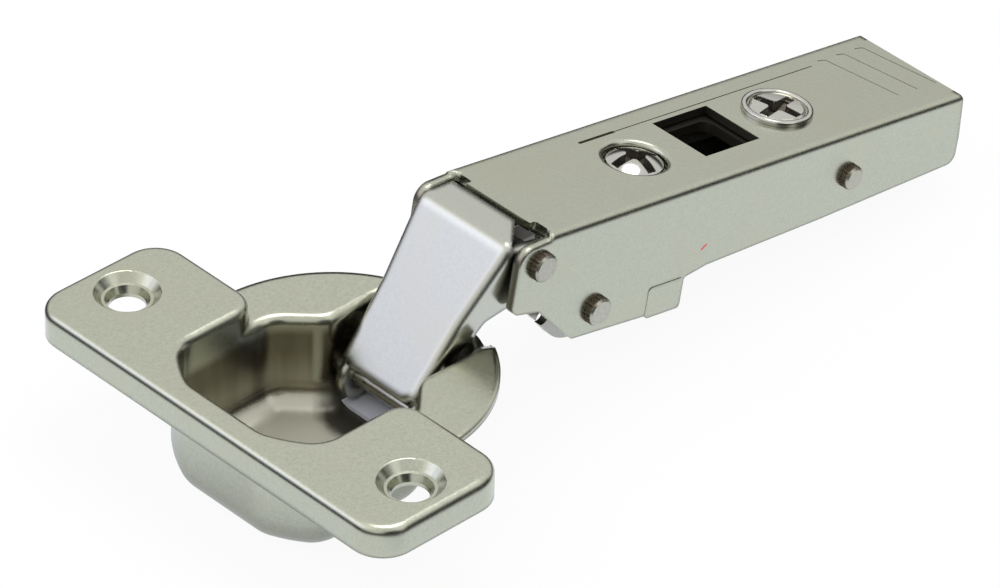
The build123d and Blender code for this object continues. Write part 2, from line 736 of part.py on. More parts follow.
# ======================================================================= arm
with BuildPart() as hinge_arm:
    with BuildSketch(arm_side) as wall_outline:
        with BuildLine():
            Polyline(
                (0.0, 0.0),
                (0.0, LOBE_SHOULDER),
                (LOBE_FRONT, LOBE_TOP),
                (LOBE_FRONT, LOBE_FOOT),
                CHAMFER_TOP,
                (CHAMFER_FOOT_U, -WALL_FRONT_DEEP),
                (STEP_U, -WALL_DEEP),
                (STEP_U + 0.1, STEP_W),
                HAUNCH,
                WAIST,
                (ARM_LENGTH, -WALL_REAR_DEEP),
                (ARM_LENGTH, -0.6 * WALL_REAR_DEEP),
                (ARM_LENGTH - ARM_SLANT, 0.0),
                close=True,
            )
        make_face()
        lobe_high = wall_outline.vertices().filter_by(
            lambda v: abs(v.X - LOBE_FRONT) < 0.01 and abs(v.Y - LOBE_TOP) < 0.01
        )
        fillet(lobe_high, LOBE_TOP_ROUND)
        lobe_low = wall_outline.vertices().filter_by(
            lambda v: abs(v.X - LOBE_FRONT) < 0.01 and abs(v.Y - LOBE_FOOT) < 0.01
        )
        fillet(lobe_low, LOBE_ROUND)
        chamfer_foot = wall_outline.vertices().filter_by(
            lambda v: abs(v.X - CHAMFER_FOOT_U) < 0.01 and abs(v.Y + WALL_FRONT_DEEP) < 0.01
        )
        fillet(chamfer_foot, 0.7)
        step = wall_outline.vertices().filter_by(lambda v: abs(v.X - STEP_U - 0.05) < 0.06)
        fillet(step, 0.4)
        rear_foot = wall_outline.vertices().filter_by(
            lambda v: abs(v.X - ARM_LENGTH) < 0.01 and abs(v.Y + WALL_REAR_DEEP) < 0.01
        )
        fillet(rear_foot, 1.3)
    extrude(amount=ARM_HALF, both=True)
    shoulders = hinge_arm.edges().filter_by(
        lambda e: abs(abs(e.center().Y) - ARM_HALF) < 0.01
        and abs(arm_side.to_local_coords(e.center()).Y) < 0.01
        and e.length > 20
    )
    fillet(shoulders, ARM_BEND)
    # pressed-out pads near the foot of each wall
    with BuildSketch(arm_side):
        with Locations(((PAD_U + STEP_U) / 2, (PAD_W - WALL_DEEP - 0.15) / 2)):
            RectangleRounded(STEP_U - PAD_U, WALL_DEEP + 0.15 + PAD_W, 0.5)
    extrude(amount=ARM_HALF + PAD_PROUD, both=True)
    # inside of the channel
    with BuildSketch(arm_side):
        with Locations((ARM_LENGTH / 2, -ARM_SHEET - 15)):
            Rectangle(ARM_LENGTH + 30, 30)
    extrude(amount=ARM_HALF - ARM_SHEET, both=True, mode=Mode.SUBTRACT)
    with BuildSketch(arm_side):
        with Locations((-6.0, 0.0)):
            Rectangle(12.0, 4.0)
    extrude(amount=ARM_HALF - ARM_SHEET, both=True, mode=Mode.SUBTRACT)
    with BuildSketch(arm_side):
        with Locations(((PAD_U + STEP_U) / 2, (PAD_W - WALL_DEEP) / 2 - 1.35)):
            RectangleRounded(STEP_U - PAD_U - 1.4, WALL_DEEP + PAD_W + 1.3, 0.7)
    extrude(amount=ARM_HALF - ARM_SHEET + PAD_PROUD, both=True, mode=Mode.SUBTRACT)
    # notches beside the plate's front edge, through the plate and over the bend
    for side in (-1, 1):
        with BuildSketch(mode=Mode.PRIVATE) as notch:
            Polygon(
                (-1.0, side * NOTCH_FROM),
                (NOTCH_DEEP, side * NOTCH_FROM),
                (NOTCH_DEEP, side * NOTCH_TO),
                (0.2, side * (ARM_HALF - 0.45)),
                (0.0, side * (ARM_HALF + 1)),
                (-1.0, side * (ARM_HALF + 1)),
                align=None,
            )
            fillet(notch.vertices().filter_by(lambda v: abs(v.X - NOTCH_DEEP) < 0.01), 0.4)
        with BuildSketch(arm_top):
            add(notch.sketch)
        extrude(amount=LOBE_SHOULDER, mode=Mode.SUBTRACT)
        with BuildSketch(arm_top):
            add(notch.sketch)
            with Locations((0, side * (ARM_HALF - ARM_SHEET + 5))):
                Rectangle(10, 10, mode=Mode.SUBTRACT)
        extrude(amount=-ARM_SHEET - 0.1, mode=Mode.SUBTRACT)
    # shallow pressed lines: the long panel line, its slit, and three hooked ribs
    with BuildSketch(arm_top):
        with Locations(((PANEL_FRONT + PANEL_REAR) / 2, GROOVE_Y)):
            SlotOverall(PANEL_REAR - PANEL_FRONT, GROOVE_WIDE)
        for count in range(3):
            far = (RIB_U + count * RIB_PITCH, RIB_FAR)
            near = (far[0] + RIB_SLANT, RIB_NEAR)
            hook = (far[0] - 1.0, RIB_FAR + 0.25)
            with BuildLine() as rib:
                FilletPolyline(near, far, hook, radius=0.4)
            trace(line_width=GROOVE_WIDE)
    extrude(amount=-GROOVE_DEEP, mode=Mode.SUBTRACT)
    with BuildSketch(arm_top):
        with Locations((PANEL_FRONT + SLIT_LONG / 2, GROOVE_Y)):
            SlotOverall(SLIT_LONG, SLIT_WIDE)
    extrude(amount=-SLIT_DEEP, mode=Mode.SUBTRACT)
    # openings in the top plate
    with BuildSketch(arm_top):
        with Locations((FRONT_SCREW_U, 0)):
            Circle(SEAT_HOLE_R)
        with Locations((REAR_SCREW_U, 0)):
            Circle(CAM_NECK_R + TURN_CLEAR)
        with Locations((WINDOW_U, WINDOW_Y)):
            Rectangle(WINDOW, WINDOW)
    extrude(amount=-ARM_SHEET - 0.5, mode=Mode.SUBTRACT)
    seat_rim = hinge_arm.edges().filter_by(GeomType.CIRCLE).filter_by(
        lambda e: abs(e.radius - SEAT_HOLE_R) < 0.01
        and abs(arm_top.to_local_coords(e.center()).Z) < 0.01
    )
    fillet(seat_rim, SEAT_ROUND)
    # rivet holes
    with BuildSketch(arm_side):
        with Locations(RIVET_A_UW, RIVET_B_UW):
            Circle(RIVET_R + SEAT)
        with Locations(CATCH_PIN):
            Circle(CATCH_PIN_R + SEAT)
    extrude(amount=ARM_HALF + 1, both=True, mode=Mode.SUBTRACT)

hinge_arm.part.label = "hinge_arm"
export_step(hinge_arm.part, "parts/hinge_arm.step")


# ============================================================ adjust carrier
CARRIER_HALF = ARM_HALF - ARM_SHEET - CARRIER_GAP
CARRIER_TOP = -ARM_SHEET - CARRIER_GAP
CARRIER_UNDER = CARRIER_TOP - CARRIER_SHEET
SLIDE_SLOT = 2 * DEPTH_TRAVEL + 0.2

with BuildPart() as adjust_carrier:
    with BuildSketch(arm_side) as carrier_outline:
        with BuildLine():
            Polyline(
                (CARRIER_FRONT, CARRIER_TOP),
                (CARRIER_REAR, CARRIER_TOP),
                (CARRIER_REAR, -6.9),
                (46.0, -7.6),
                (30.0, -9.2),
                (TONGUE_REAR, -9.2),
                (TONGUE_REAR, TONGUE_FOOT + 1.6),
                (TONGUE_REAR - 1.6, TONGUE_FOOT),
                (CARRIER_FRONT + 1.2, TONGUE_FOOT),
                (CARRIER_FRONT, TONGUE_FOOT + 1.2),
                close=True,
            )
        make_face()
        # hooks that take the plate's front bar
        with Locations((TONGUE_REAR, HOOK_W)):
            SlotCenterToCenter(HOOK_DEEP, HOOK_GAP, mode=Mode.SUBTRACT)
    extrude(amount=CARRIER_HALF, both=True)
    carrier_edges = adjust_carrier.edges().filter_by(
        lambda e: abs(abs(e.center().Y) - CARRIER_HALF) < 0.01
        and abs(arm_side.to_local_coords(e.center()).Y - CARRIER_TOP) < 0.01
    )
    fillet(carrier_edges, 1.0)
    with BuildSketch(arm_side):
        with Locations((CARRIER_REAR / 2, CARRIER_UNDER - WALL_DEEP)):
            Rectangle(2 * CARRIER_REAR, 2 * WALL_DEEP)
    extrude(amount=CARRIER_HALF - CARRIER_SHEET, both=True, mode=Mode.SUBTRACT)
    with BuildSketch(arm_top):
        with Locations((FRONT_SCREW_U, 0)):
            SlotOverall(SLIDE_SLOT + 2 * (SCREW_SHANK_R + TURN_CLEAR), 2 * (SCREW_SHANK_R + TURN_CLEAR))
        with Locations((REAR_SCREW_U, 0)):
            SlotOverall(SLIDE_SLOT + 2 * (CAM_NECK_R + TURN_CLEAR), 2 * (CAM_NECK_R + TURN_CLEAR))
        with Locations((WINDOW_U, WINDOW_Y)):
            RectangleRounded(WINDOW - 1.2, WINDOW - 1.6, 1.2)
    extrude(amount=CARRIER_UNDER - 0.5, mode=Mode.SUBTRACT)
    with BuildSketch(arm_side):
        with Locations(CATCH_PIN):
            SlotOverall(SLIDE_SLOT + 2 * (CATCH_PIN_R + 0.15), 2 * (CATCH_PIN_R + 0.15))
    extrude(amount=CARRIER_HALF + 1, both=True, mode=Mode.SUBTRACT)

adjust_carrier.part.label = "adjust_carrier"
export_step(adjust_carrier.part, "parts/adjust_carrier.step")


# =================================================================== screws
def seat_top(u):
    """Return the arm's top plane with its origin moved to a screw's centre."""
    return Plane(
        origin=arm_top.from_local_coords((u, 0, 0)),
        x_dir=arm_top.x_dir,
        z_dir=arm_top.z_dir,
    )


def seat_side(u):
    """Return the upright plane through a screw's centre, for profiles to be turned."""
    return Plane(
        origin=arm_top.from_local_coords((u, 0, 0)),
        x_dir=arm_top.x_dir,
        z_dir=(0, -1, 0),
    )


def cross_recess(u, top, wide, span, deep, turn):
    """Return the cutter for a cross recess whose arms narrow towards its foot."""
    with BuildPart(mode=Mode.PRIVATE) as cutter:
        with BuildSketch(seat_top(u).offset(top)):
            Rectangle(span, wide, rotation=turn)
            Rectangle(wide, span, rotation=turn)
            Circle(wide * 0.95)
        with BuildSketch(seat_top(u).offset(top - deep)):
            Rectangle(span * 0.45, wide * 0.7, rotation=turn)
            Rectangle(wide * 0.7, span * 0.45, rotation=turn)
            Circle(wide * 0.66)
        loft()
    return cutter.part


side_recess = cross_recess(
    FRONT_SCREW_U, HEAD_TOP + 0.1, CROSS_WIDE, CROSS_SPAN, 1.7, FRONT_CROSS_TURN
)

with BuildPart() as side_adjust_screw:
    with BuildSketch(seat_side(FRONT_SCREW_U)):
        with BuildLine():
            Line((0, HEAD_TOP), (0, SCREW_FOOT))
            Polyline(
                (0, SCREW_FOOT),
                (SCREW_SHANK_R - 0.5, SCREW_FOOT),
                (SCREW_SHANK_R, SCREW_FOOT + 0.5),
                (SCREW_SHANK_R, CARRIER_TOP + TURN_CLEAR),
                (SCREW_HEAD_R - 0.2, CARRIER_TOP + TURN_CLEAR),
                (SCREW_HEAD_R, CARRIER_TOP + 0.25),
                (SCREW_HEAD_R, HEAD_EDGE),
            )
            ThreePointArc(
                (SCREW_HEAD_R, HEAD_EDGE),
                (SCREW_HEAD_R * 0.62, HEAD_TOP - 0.22),
                (0, HEAD_TOP),
            )
        make_face()
    revolve(axis=Axis(seat_top(FRONT_SCREW_U).origin, arm_top.z_dir))
    add(side_recess, mode=Mode.SUBTRACT)

side_adjust_screw.part.label = "side_adjust_screw"
export_step(side_adjust_screw.part, "parts/side_adjust_screw.step")

cam_recess = cross_recess(
    REAR_SCREW_U, CAM_PROUD + 0.1, CROSS_WIDE, CROSS_SPAN, 1.8, REAR_CROSS_TURN
)
CAM_PLATE_TOP = CARRIER_UNDER - 0.15
CAM_FOOT = CAM_PLATE_TOP - CAM_PLATE

with BuildPart() as depth_adjust_cam:
    with BuildSketch(seat_side(REAR_SCREW_U)) as cam_profile:
        with BuildLine():
            Polyline(
                (0, CAM_PROUD - 0.12),
                (CAM_DISC_R - 0.35, CAM_PROUD - 0.12),
                (CAM_DISC_R, CAM_PROUD - 0.4),
                (CAM_DISC_R + 0.15, CAM_PROUD - 0.4),
                (CAM_DISC_R + 0.3, CAM_PROUD),
                (CAM_RING_R - 0.25, CAM_PROUD),
                (CAM_RING_R, CAM_PROUD - 0.25),
                (CAM_RING_R, SEAT),
                (CAM_NECK_R, SEAT),
                (CAM_NECK_R, CAM_FOOT),
                (0, CAM_FOOT),
                close=True,
            )
        make_face()
        ring_top = cam_profile.vertices().filter_by(lambda v: abs(v.Y - CAM_PROUD) < 0.01)
        fillet(ring_top, 0.12)
    revolve(axis=Axis(seat_top(REAR_SCREW_U).origin, arm_top.z_dir))
    # eccentric plate under the carrier
    with BuildSketch(seat_top(REAR_SCREW_U).offset(CAM_FOOT)):
        with Locations((0, CAM_OFFSET)):
            Circle(CAM_PLATE_R)
    extrude(amount=CAM_PLATE_TOP - CAM_FOOT)
    add(cam_recess, mode=Mode.SUBTRACT)

depth_adjust_cam.part.label = "depth_adjust_cam"
export_step(depth_adjust_cam.part, "parts/depth_adjust_cam.step")

# ============================================================= catch lever
with BuildPart() as catch_lever:
    with BuildSketch(arm_side) as lever_outline:
        with BuildLine():
            Polyline(
                (LEVER_NOSE[0], LEVER_NOSE[1] + LEVER_NOSE_R),
                (CATCH_PIN[0] - 4.0, CATCH_PIN[1] + 0.2),
                (CATCH_PIN[0] - 1.6, CATCH_PIN[1] + 1.2),
                (CATCH_PIN[0] + 1.6, CATCH_PIN[1] + 1.2),
                (CATCH_PIN[0] + 4.6, LEVER_FOOT + 2.4),
                (LEVER_REAR - 1.0, LEVER_FOOT + 2.0),
                (LEVER_REAR, LEVER_FOOT + 1.0),
                (LEVER_REAR - 1.4, LEVER_FOOT + 0.55),
                (CATCH_PIN[0] + 2.0, LEVER_FOOT - 0.35),
                (CATCH_PIN[0] - 5.0, LEVER_FOOT - 0.35),
                (LEVER_NOSE[0], LEVER_NOSE[1] - LEVER_NOSE_R),
                close=True,
            )
        make_face()
        with Locations(LEVER_NOSE):
            Circle(LEVER_NOSE_R)
    extrude(amount=LEVER_HALF, both=True)
    with BuildSketch(arm_side):
        with Locations((CATCH_PIN[0] - 2.0, LEVER_FOOT + LEVER_FLOOR + LEVER_ROOM / 2)):
            Rectangle(2 * (CATCH_PIN[0] - 1.8 - LEVER_NOSE[0] - LEVER_NOSE_R), LEVER_ROOM)
        with Locations((LEVER_REAR - LEVER_ROOM / 2, LEVER_FOOT + LEVER_FLOOR + 0.5 + LEVER_ROOM / 2)):
            Rectangle(1.5 * LEVER_ROOM, LEVER_ROOM)
    extrude(amount=LEVER_HALF - LEVER_SHEET, both=True, mode=Mode.SUBTRACT)
    with BuildSketch(arm_side):
        with Locations(CATCH_PIN):
            Circle(CATCH_PIN_R + TURN_CLEAR)
    extrude(amount=LEVER_HALF + 1, both=True, mode=Mode.SUBTRACT)

catch_lever.part.label = "catch_lever"
export_step(catch_lever.part, "parts/catch_lever.step")


# ================================================================== springs
def touch_angle(centre, radius, target, forwards):
    """Return where a straight leg to `target` leaves the coil, as an angle in the arm's frame."""
    du = target[0] - centre[0]
    dw = target[1] - centre[1]
    swing = acos(radius / hypot(du, dw))
    return atan2(dw, du) + (swing if forwards else -swing)


def leg_spring(centre, coil_r, wire_r, pitch, turns, first_tip, last_tip, hook):
    """Return a leg spring about a cross pin: a coil, two straight legs and an end hook.

    The coil runs clockwise in the arm's (u, w) plane while it advances along +Y.
    Each leg leaves the coil along its tangent and reaches the height of its tip.
    """
    start = touch_angle(centre, coil_r, first_tip, forwards=False)
    finish = touch_angle(centre, coil_r, last_tip, forwards=True)
    height = pitch * (turns + ((start - finish) % (2 * pi)) / (2 * pi))
    base = arm_side.from_local_coords((centre[0], centre[1], height / 2))
    turn = 90 - degrees(start - TILT)
    slope = hypot(1, pitch / (2 * pi * coil_r))
    with BuildPart(mode=Mode.PRIVATE) as wire:
        with BuildLine() as coil_path:
            coil = Helix(pitch, height, coil_r, center=base, direction=(0, 1, 0), mode=Mode.PRIVATE)
            add(coil.rotate(Axis(base, (0, 1, 0)), turn))
        with BuildSketch(Plane(origin=coil_path.line @ 0, z_dir=coil_path.line % 0)):
            Circle(wire_r)
        sweep(path=coil_path.line, is_frenet=True)
        for place, target, way in ((0, first_tip, -1), (1, last_tip, 1)):
            reach = hypot(target[0] - centre[0], target[1] - centre[1])
            root = Plane(origin=coil_path.line @ place, z_dir=(coil_path.line % place) * way)
            with BuildSketch(root):
                Circle(wire_r)
            extrude(amount=slope * (reach**2 - coil_r**2) ** 0.5)
            tip = root.origin + root.z_dir * slope * (reach**2 - coil_r**2) ** 0.5
        if hook > 0:
            with BuildSketch(Plane(origin=tip - Vector(0, wire_r, 0), z_dir=(0, 1, 0))):
                Circle(wire_r * 1.02)
            extrude(amount=hook + wire_r)
    return wire.part


with BuildPart() as closing_spring:
    add(
        leg_spring(
            RIVET_B_UW,
            SPRING_COIL_R,
            SPRING_WIRE_R,
            SPRING_PITCH,
            SPRING_TURNS,
            (RIVET_B_UW[0] + 3.5, -ARM_SHEET - SPRING_WIRE_R - 0.05),
            in_arm(SPRING_HOLE),
            INNER_HALF_TOP - SPRING_PITCH * SPRING_TURNS / 2,
        )
    )

closing_spring.part.label = "closing_spring"
export_step(closing_spring.part, "parts/closing_spring.step")

with BuildPart() as catch_spring:
    add(
        leg_spring(
            CATCH_PIN,
            CATCH_COIL_R,
            CATCH_WIRE_R,
            CATCH_PITCH,
            CATCH_TURNS,
            (CATCH_PIN[0] + 7.4, CARRIER_UNDER - CATCH_WIRE_R - 0.05),
            (CATCH_PIN[0] + 5.6, LEVER_FOOT + LEVER_FLOOR + CATCH_WIRE_R + 0.05),
            0,
        )
    )

catch_spring.part.label = "catch_spring"
export_step(catch_spring.part, "parts/catch_spring.step")
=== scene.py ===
# %% [markdown]
# # A concealed cup hinge, dressed for the studio
#
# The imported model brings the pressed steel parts, the pins, the screws and the springs as a fixed
# frame. This lesson gives each of them its finish, and adds the small things that are too thin
# for the frame. A finish is written as a small recipe of nodes; a new piece is a surface worked
# out with numpy.

import math

import bpy
import numpy as np
from mathutils import Matrix, Vector


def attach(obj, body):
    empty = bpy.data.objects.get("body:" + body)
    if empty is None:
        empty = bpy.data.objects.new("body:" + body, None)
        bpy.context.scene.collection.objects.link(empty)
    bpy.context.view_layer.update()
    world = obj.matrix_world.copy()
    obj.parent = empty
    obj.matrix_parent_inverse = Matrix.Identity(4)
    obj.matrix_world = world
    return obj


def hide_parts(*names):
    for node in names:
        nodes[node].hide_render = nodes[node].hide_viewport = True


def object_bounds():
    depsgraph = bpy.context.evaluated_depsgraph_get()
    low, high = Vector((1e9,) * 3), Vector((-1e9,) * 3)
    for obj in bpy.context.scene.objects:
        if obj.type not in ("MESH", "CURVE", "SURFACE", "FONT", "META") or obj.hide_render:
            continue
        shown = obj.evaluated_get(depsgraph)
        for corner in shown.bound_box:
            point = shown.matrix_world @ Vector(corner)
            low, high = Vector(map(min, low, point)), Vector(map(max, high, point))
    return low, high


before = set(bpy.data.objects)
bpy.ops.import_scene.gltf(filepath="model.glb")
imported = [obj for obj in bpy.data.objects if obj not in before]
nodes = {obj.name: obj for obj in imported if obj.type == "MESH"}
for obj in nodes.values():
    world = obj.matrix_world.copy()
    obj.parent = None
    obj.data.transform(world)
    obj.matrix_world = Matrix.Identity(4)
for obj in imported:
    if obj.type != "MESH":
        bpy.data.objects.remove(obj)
cad_box = [list(corner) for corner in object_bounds()]
MM = 0.001
print("parts in the frame:", ", ".join(sorted(nodes)))
print("frame box in mm:", [[round(v / MM, 2) for v in corner] for corner in cad_box])

# %% [markdown]
# ## The camera
#
# The hinge is seen from above its flange, from a long way off with a long lens, so its edges
# look almost parallel. A camera looks along its own -Z axis, so it is placed along a direction
# from the target and then turned to face back down it. The small roll is put on last.

# %% The camera
AIM = Vector((20.0, -4.69, 3.7)) * MM
AZIMUTH, ELEVATION, ROLL = -43.95, 36.08, 1.21
DISTANCE = 852.9 * MM
LENS, SENSOR = 285.08, 36.0
CLIP_NEAR, CLIP_FAR = 0.05, 20.0

camera = bpy.data.objects.new("camera", bpy.data.cameras.new("camera"))
bpy.context.scene.collection.objects.link(camera)
bpy.context.scene.camera = camera
az, el = math.radians(AZIMUTH), math.radians(ELEVATION)
back = Vector((math.sin(az) * math.cos(el), -math.cos(az) * math.cos(el), math.sin(el)))
facing = (-back).to_track_quat("-Z", "Y").to_matrix().to_4x4()
camera.matrix_world = (
    Matrix.Translation(AIM + back * DISTANCE) @ facing @ Matrix.Rotation(math.radians(ROLL), 4, "Z")
)
camera.data.lens = LENS
camera.data.sensor_width = SENSOR
camera.data.clip_start, camera.data.clip_end = CLIP_NEAR, CLIP_FAR
print("camera at", [round(v, 3) for v in camera.location], "lens", LENS)

# %% [markdown]
# ## Where things are
#
# The arm leans ten degrees down towards its rear end, and most marks on it are easier to place
# along its own directions: u runs back along its top plate, w stands up from it, and y is the
# frame's own y. These few numbers repeat the frame's sizes, in millimetres.

# %% Places on the parts
TILT = math.radians(10.02)
ARM_CORNER = Vector((23.98, 0.0, 11.34))
ALONG = Vector((math.cos(TILT), 0.0, -math.sin(TILT)))
UP = Vector((math.sin(TILT), 0.0, math.cos(TILT)))
FRONT_SCREW_U, REAR_SCREW_U = 21.0, 43.4
WINDOW_U, WINDOW_Y = 32.55, 0.45
SLIT_START, SLIT_END, SLIT_Y = 17.55, 23.05, 5.45
SINK_X, SINK_Y = -9.5, 22.5
WALL_Y = 8.39
POCKET_FRONT, POCKET_HALF, NECK_HALF, NECK_END = -15.4, 11.5, 7.15, 15.9
SHOULDER_X, NECK_X = 1.4, 5.9
OUTER_AXLE, INNER_AXLE = (22.5, 8.25), (30.85, -1.6)
CATCH_AXLE = (47.72, -5.42)


def in_arm(x, z):
    """A point of the frame's XZ plane, in the arm's own u and w."""
    spot = Vector((x, 0.0, z)) - ARM_CORNER
    return spot.dot(ALONG), spot.dot(UP)


RIVETS = {
    "outer_link_rivet": in_arm(*OUTER_AXLE),
    "inner_link_rivet": in_arm(*INNER_AXLE),
    "catch_pin": CATCH_AXLE,
}
for rivet_name, (u, w) in RIVETS.items():
    print(f"{rivet_name} in the arm's directions: u {u:.2f}, w {w:.2f}")

# %% [markdown]
# ## Writing finishes as sums
#
# A finish is a chain of nodes, and most of it is arithmetic: a noise times a strength, plus a
# base value. It could be wired by hand, node by node, but a formula is easier to read. So one
# small class wraps a socket, and `+`, `-`, `*` and `/` on it add the Math nodes. One method adds
# any other node from its type, its settings and what goes into its sockets.


# %% A socket that can be added and multiplied
class Wire:
    """The output of a node. Arithmetic on it adds Math nodes to the same recipe."""

    def __init__(self, recipe, socket):
        self.recipe = recipe
        self.socket = socket

    def _math(self, operation, *values):
        settings = {"operation": operation}
        return self.recipe.node("ShaderNodeMath", settings, dict(enumerate(values)))

    def __add__(self, other):
        return self._math("ADD", self, other)

    __radd__ = __add__

    def __sub__(self, other):
        return self._math("SUBTRACT", self, other)

    def __rsub__(self, other):
        return self._math("SUBTRACT", other, self)

    def __mul__(self, other):
        return self._math("MULTIPLY", self, other)

    __rmul__ = __mul__

    def __truediv__(self, other):
        return self._math("DIVIDE", self, other)

    def __pow__(self, other):
        return self._math("POWER", self, other)

    def __abs__(self):
        return self._math("ABSOLUTE", self)

    def clamp(self):
        """The value, kept between 0 and 1."""
        settings = {"operation": "ADD", "use_clamp": True}
        return self.recipe.node("ShaderNodeMath", settings, {0: self, 1: 0.0})


print("a wire understands + - * / ** and abs()")


# %% A recipe that adds any node
class Recipe:
    """A material or world being written, with one method that adds any node to it."""

    def __init__(self, owner):
        owner.use_nodes = True
        self.owner = owner
        self.tree = owner.node_tree
        self.tree.nodes.clear()

    def node(self, kind, settings=None, values=None, out=0):
        """Add a node: first its settings, then numbers or links for its sockets."""
        made = self.tree.nodes.new(kind)
        for key, value in (settings or {}).items():
            setattr(made, key, value)
        for key, value in (values or {}).items():
            shown = [s for s in made.inputs if s.enabled]
            target = shown[key] if isinstance(key, int) else next(s for s in shown if s.name == key)
            if isinstance(value, Wire):
                self.tree.links.new(value.socket, target)
            else:
                target.default_value = value
        outputs = [s for s in made.outputs if s.enabled]
        socket = outputs[out] if isinstance(out, int) else next(s for s in outputs if s.name == out)
        return Wire(self, socket)

    def finish(self, kind, shader):
        """Join the last shader to the output node and hand back the material."""
        end = self.tree.nodes.new(kind)
        self.tree.links.new(shader.socket, end.inputs["Surface"])
        return self.owner


def rgba(colour):
    """A grey number or three numbers as four numbers."""
    return (colour, colour, colour, 1.0) if isinstance(colour, float) else (*colour, 1.0)


def material(name):
    """Start the recipe of a new material."""
    return Recipe(bpy.data.materials.new(name))


print("a grey of 0.5 as four numbers:", rgba(0.5))


# %% [markdown]
# ## Patterns in millimetres
#
# Every pattern is read from the object's own coordinates, so it stays where it is when the part
# moves. The frame is in metres, so the coordinates are multiplied by a thousand first: after that
# a noise with a scale of 2 has about two lumps in each millimetre.


# %% Helpers for patterns
def place(r, stretch=(1.0, 1.0, 1.0), turn=(0.0, 0.0, 0.0)):
    """The point in millimetres, stretched and turned."""
    spot = r.node("ShaderNodeTexCoord", out="Object")
    scale = tuple(s / MM for s in stretch)
    return r.node("ShaderNodeMapping", None, {"Vector": spot, "Scale": scale, "Rotation": turn})


def noise(r, where, scale, detail=2.0, rough=0.5):
    """A soft noise from 0 to 1."""
    values = {"Vector": where, "Scale": scale, "Detail": detail, "Roughness": rough}
    return r.node("ShaderNodeTexNoise", None, values)


def mix(r, share, first, second):
    """A colour between two colours."""
    settings = {"data_type": "RGBA", "clamp_factor": True}
    values = {"Factor": share, "A": colour_or_link(first), "B": colour_or_link(second)}
    return r.node("ShaderNodeMix", settings, values)


def colour_or_link(value):
    """A wire as it is, or a colour as four numbers."""
    return value if isinstance(value, Wire) else rgba(value)


def bump(r, height, strength, distance, under=None):
    """A normal from a height; distance is in millimetres."""
    values = {"Height": height, "Strength": strength, "Distance": distance * MM}
    if under is not None:
        values["Normal"] = under
    return r.node("ShaderNodeBump", None, values)


def band(r, value, low, high):
    """0 below low, 1 above high, smooth between them; with low above high it falls instead."""
    settings = {"interpolation_type": "SMOOTHSTEP"}
    if low > high:
        return 1.0 - band(r, value, high, low)
    values = {"Value": value, "From Min": low, "From Max": high, "To Min": 0.0, "To Max": 1.0}
    return r.node("ShaderNodeMapRange", settings, values)


def reach(r, where, direction, origin=(0.0, 0.0, 0.0)):
    """How far a point lies along a direction, measured from an origin."""
    values = {0: where, 1: tuple(direction)}
    far = r.node("ShaderNodeVectorMath", {"operation": "DOT_PRODUCT"}, values)
    return far - Vector(origin).dot(Vector(direction))


def axis_parts(r, where):
    """The x, y and z of a vector, as three wires."""
    first = r.node("ShaderNodeSeparateXYZ", None, {0: where})
    return [Wire(r, socket) for socket in first.socket.node.outputs]


def normal_of(r):
    """Which way the surface looks, in the object's own directions."""
    return r.node("ShaderNodeTexCoord", out="Normal")


def arm_parts(r, where):
    """The arm's own u, y and w of a point, as three wires."""
    u, w = (reach(r, where, way, ARM_CORNER) for way in (ALONG, UP))
    return u, axis_parts(r, where)[1], w


print("one metre is", round(1.0 / MM), "units of a pattern")


# %% [markdown]
# ## Plated steel
#
# The stampings are steel with a satin nickel plate. Nickel is a warm grey with a touch of green.
# It is nearly a mirror, but the sheet keeps a fine grain from rolling, and tumbling before the
# plating leaves a soft mottle of a few tenths of a millimetre. So the roughness wavers, a very low
# bump breaks up the reflections, and faint stains change the colour over some millimetres.
# The recipe takes a list of marks: each is a function that returns a share, a colour, a roughness
# and how metallic it is, and is laid over the plate where its share is above nothing.
#
# Tumbling also softens every edge of a stamping, and a soft edge catches a line of light. The
# edges could be rounded in the mesh, but the Bevel node does it in the shading alone: it averages
# which way the surface looks within a radius. It would blur what was pressed or cut afterwards,
# so a mask can give those places their true direction back.

# %% What plating looks like up close
# Lumps in each millimetre, for the grain, the mottle and the stains.
GRAIN_SCALE, MOTTLE_SCALE, STAIN_SCALE = 3.2, 1.4, 0.12
# Scratches are a noise drawn out along one direction, seen only where it is highest.
SCRATCH_STRETCH, SCRATCH_TURN = (0.06, 3.0, 3.0), (0.4, 0.2, 0.9)
SCRATCH_SCALE, SCRATCH_LOW, SCRATCH_HIGH = 2.0, 0.70, 0.74
# How far the tone strays from the plate's colour, and the tint of its stains.
DULLER, BRIGHTER, STAIN_TINT = 0.86, 1.12, (1.03, 1.0, 0.93)
BUMP_STRENGTH, BUMP_HIGH = 0.30, 0.010
BEVEL_SAMPLES = 8
print(f"a lump of the grain is {1.0 / GRAIN_SCALE:.2f} mm wide, a stain {1.0 / STAIN_SCALE:.0f} mm")


# %% Plated steel
def plate_tone(r, colour, fine, lumps, stains, mottle):
    """The plate's colour: duller and brighter with the grain, warmer where it is stained."""
    tone = (fine - 0.5) * (1.30 * mottle) + (lumps - 0.5) * (0.50 * mottle) + 0.5
    dull = tuple(c * DULLER for c in colour)
    bright = tuple(min(1.0, c * BRIGHTER) for c in colour)
    warm = tuple(c * k for c, k in zip(colour, STAIN_TINT))
    metal = mix(r, tone.clamp(), dull, bright)
    return mix(r, band(r, stains, 0.45, 0.75) * 0.5, metal, warm)


def soft_edges(r, where, worn, crisp):
    """The surface's direction with its edges rounded to a radius, apart from where crisp is 1."""
    if not worn:
        return None
    under = r.node("ShaderNodeBevel", {"samples": BEVEL_SAMPLES}, {"Radius": worn * MM})
    if crisp:
        sharp = r.node("ShaderNodeNewGeometry", out="Normal")
        values = {"Factor": crisp(r, where), "A": under, "B": sharp}
        under = r.node("ShaderNodeMix", {"data_type": "VECTOR"}, values)
    return under


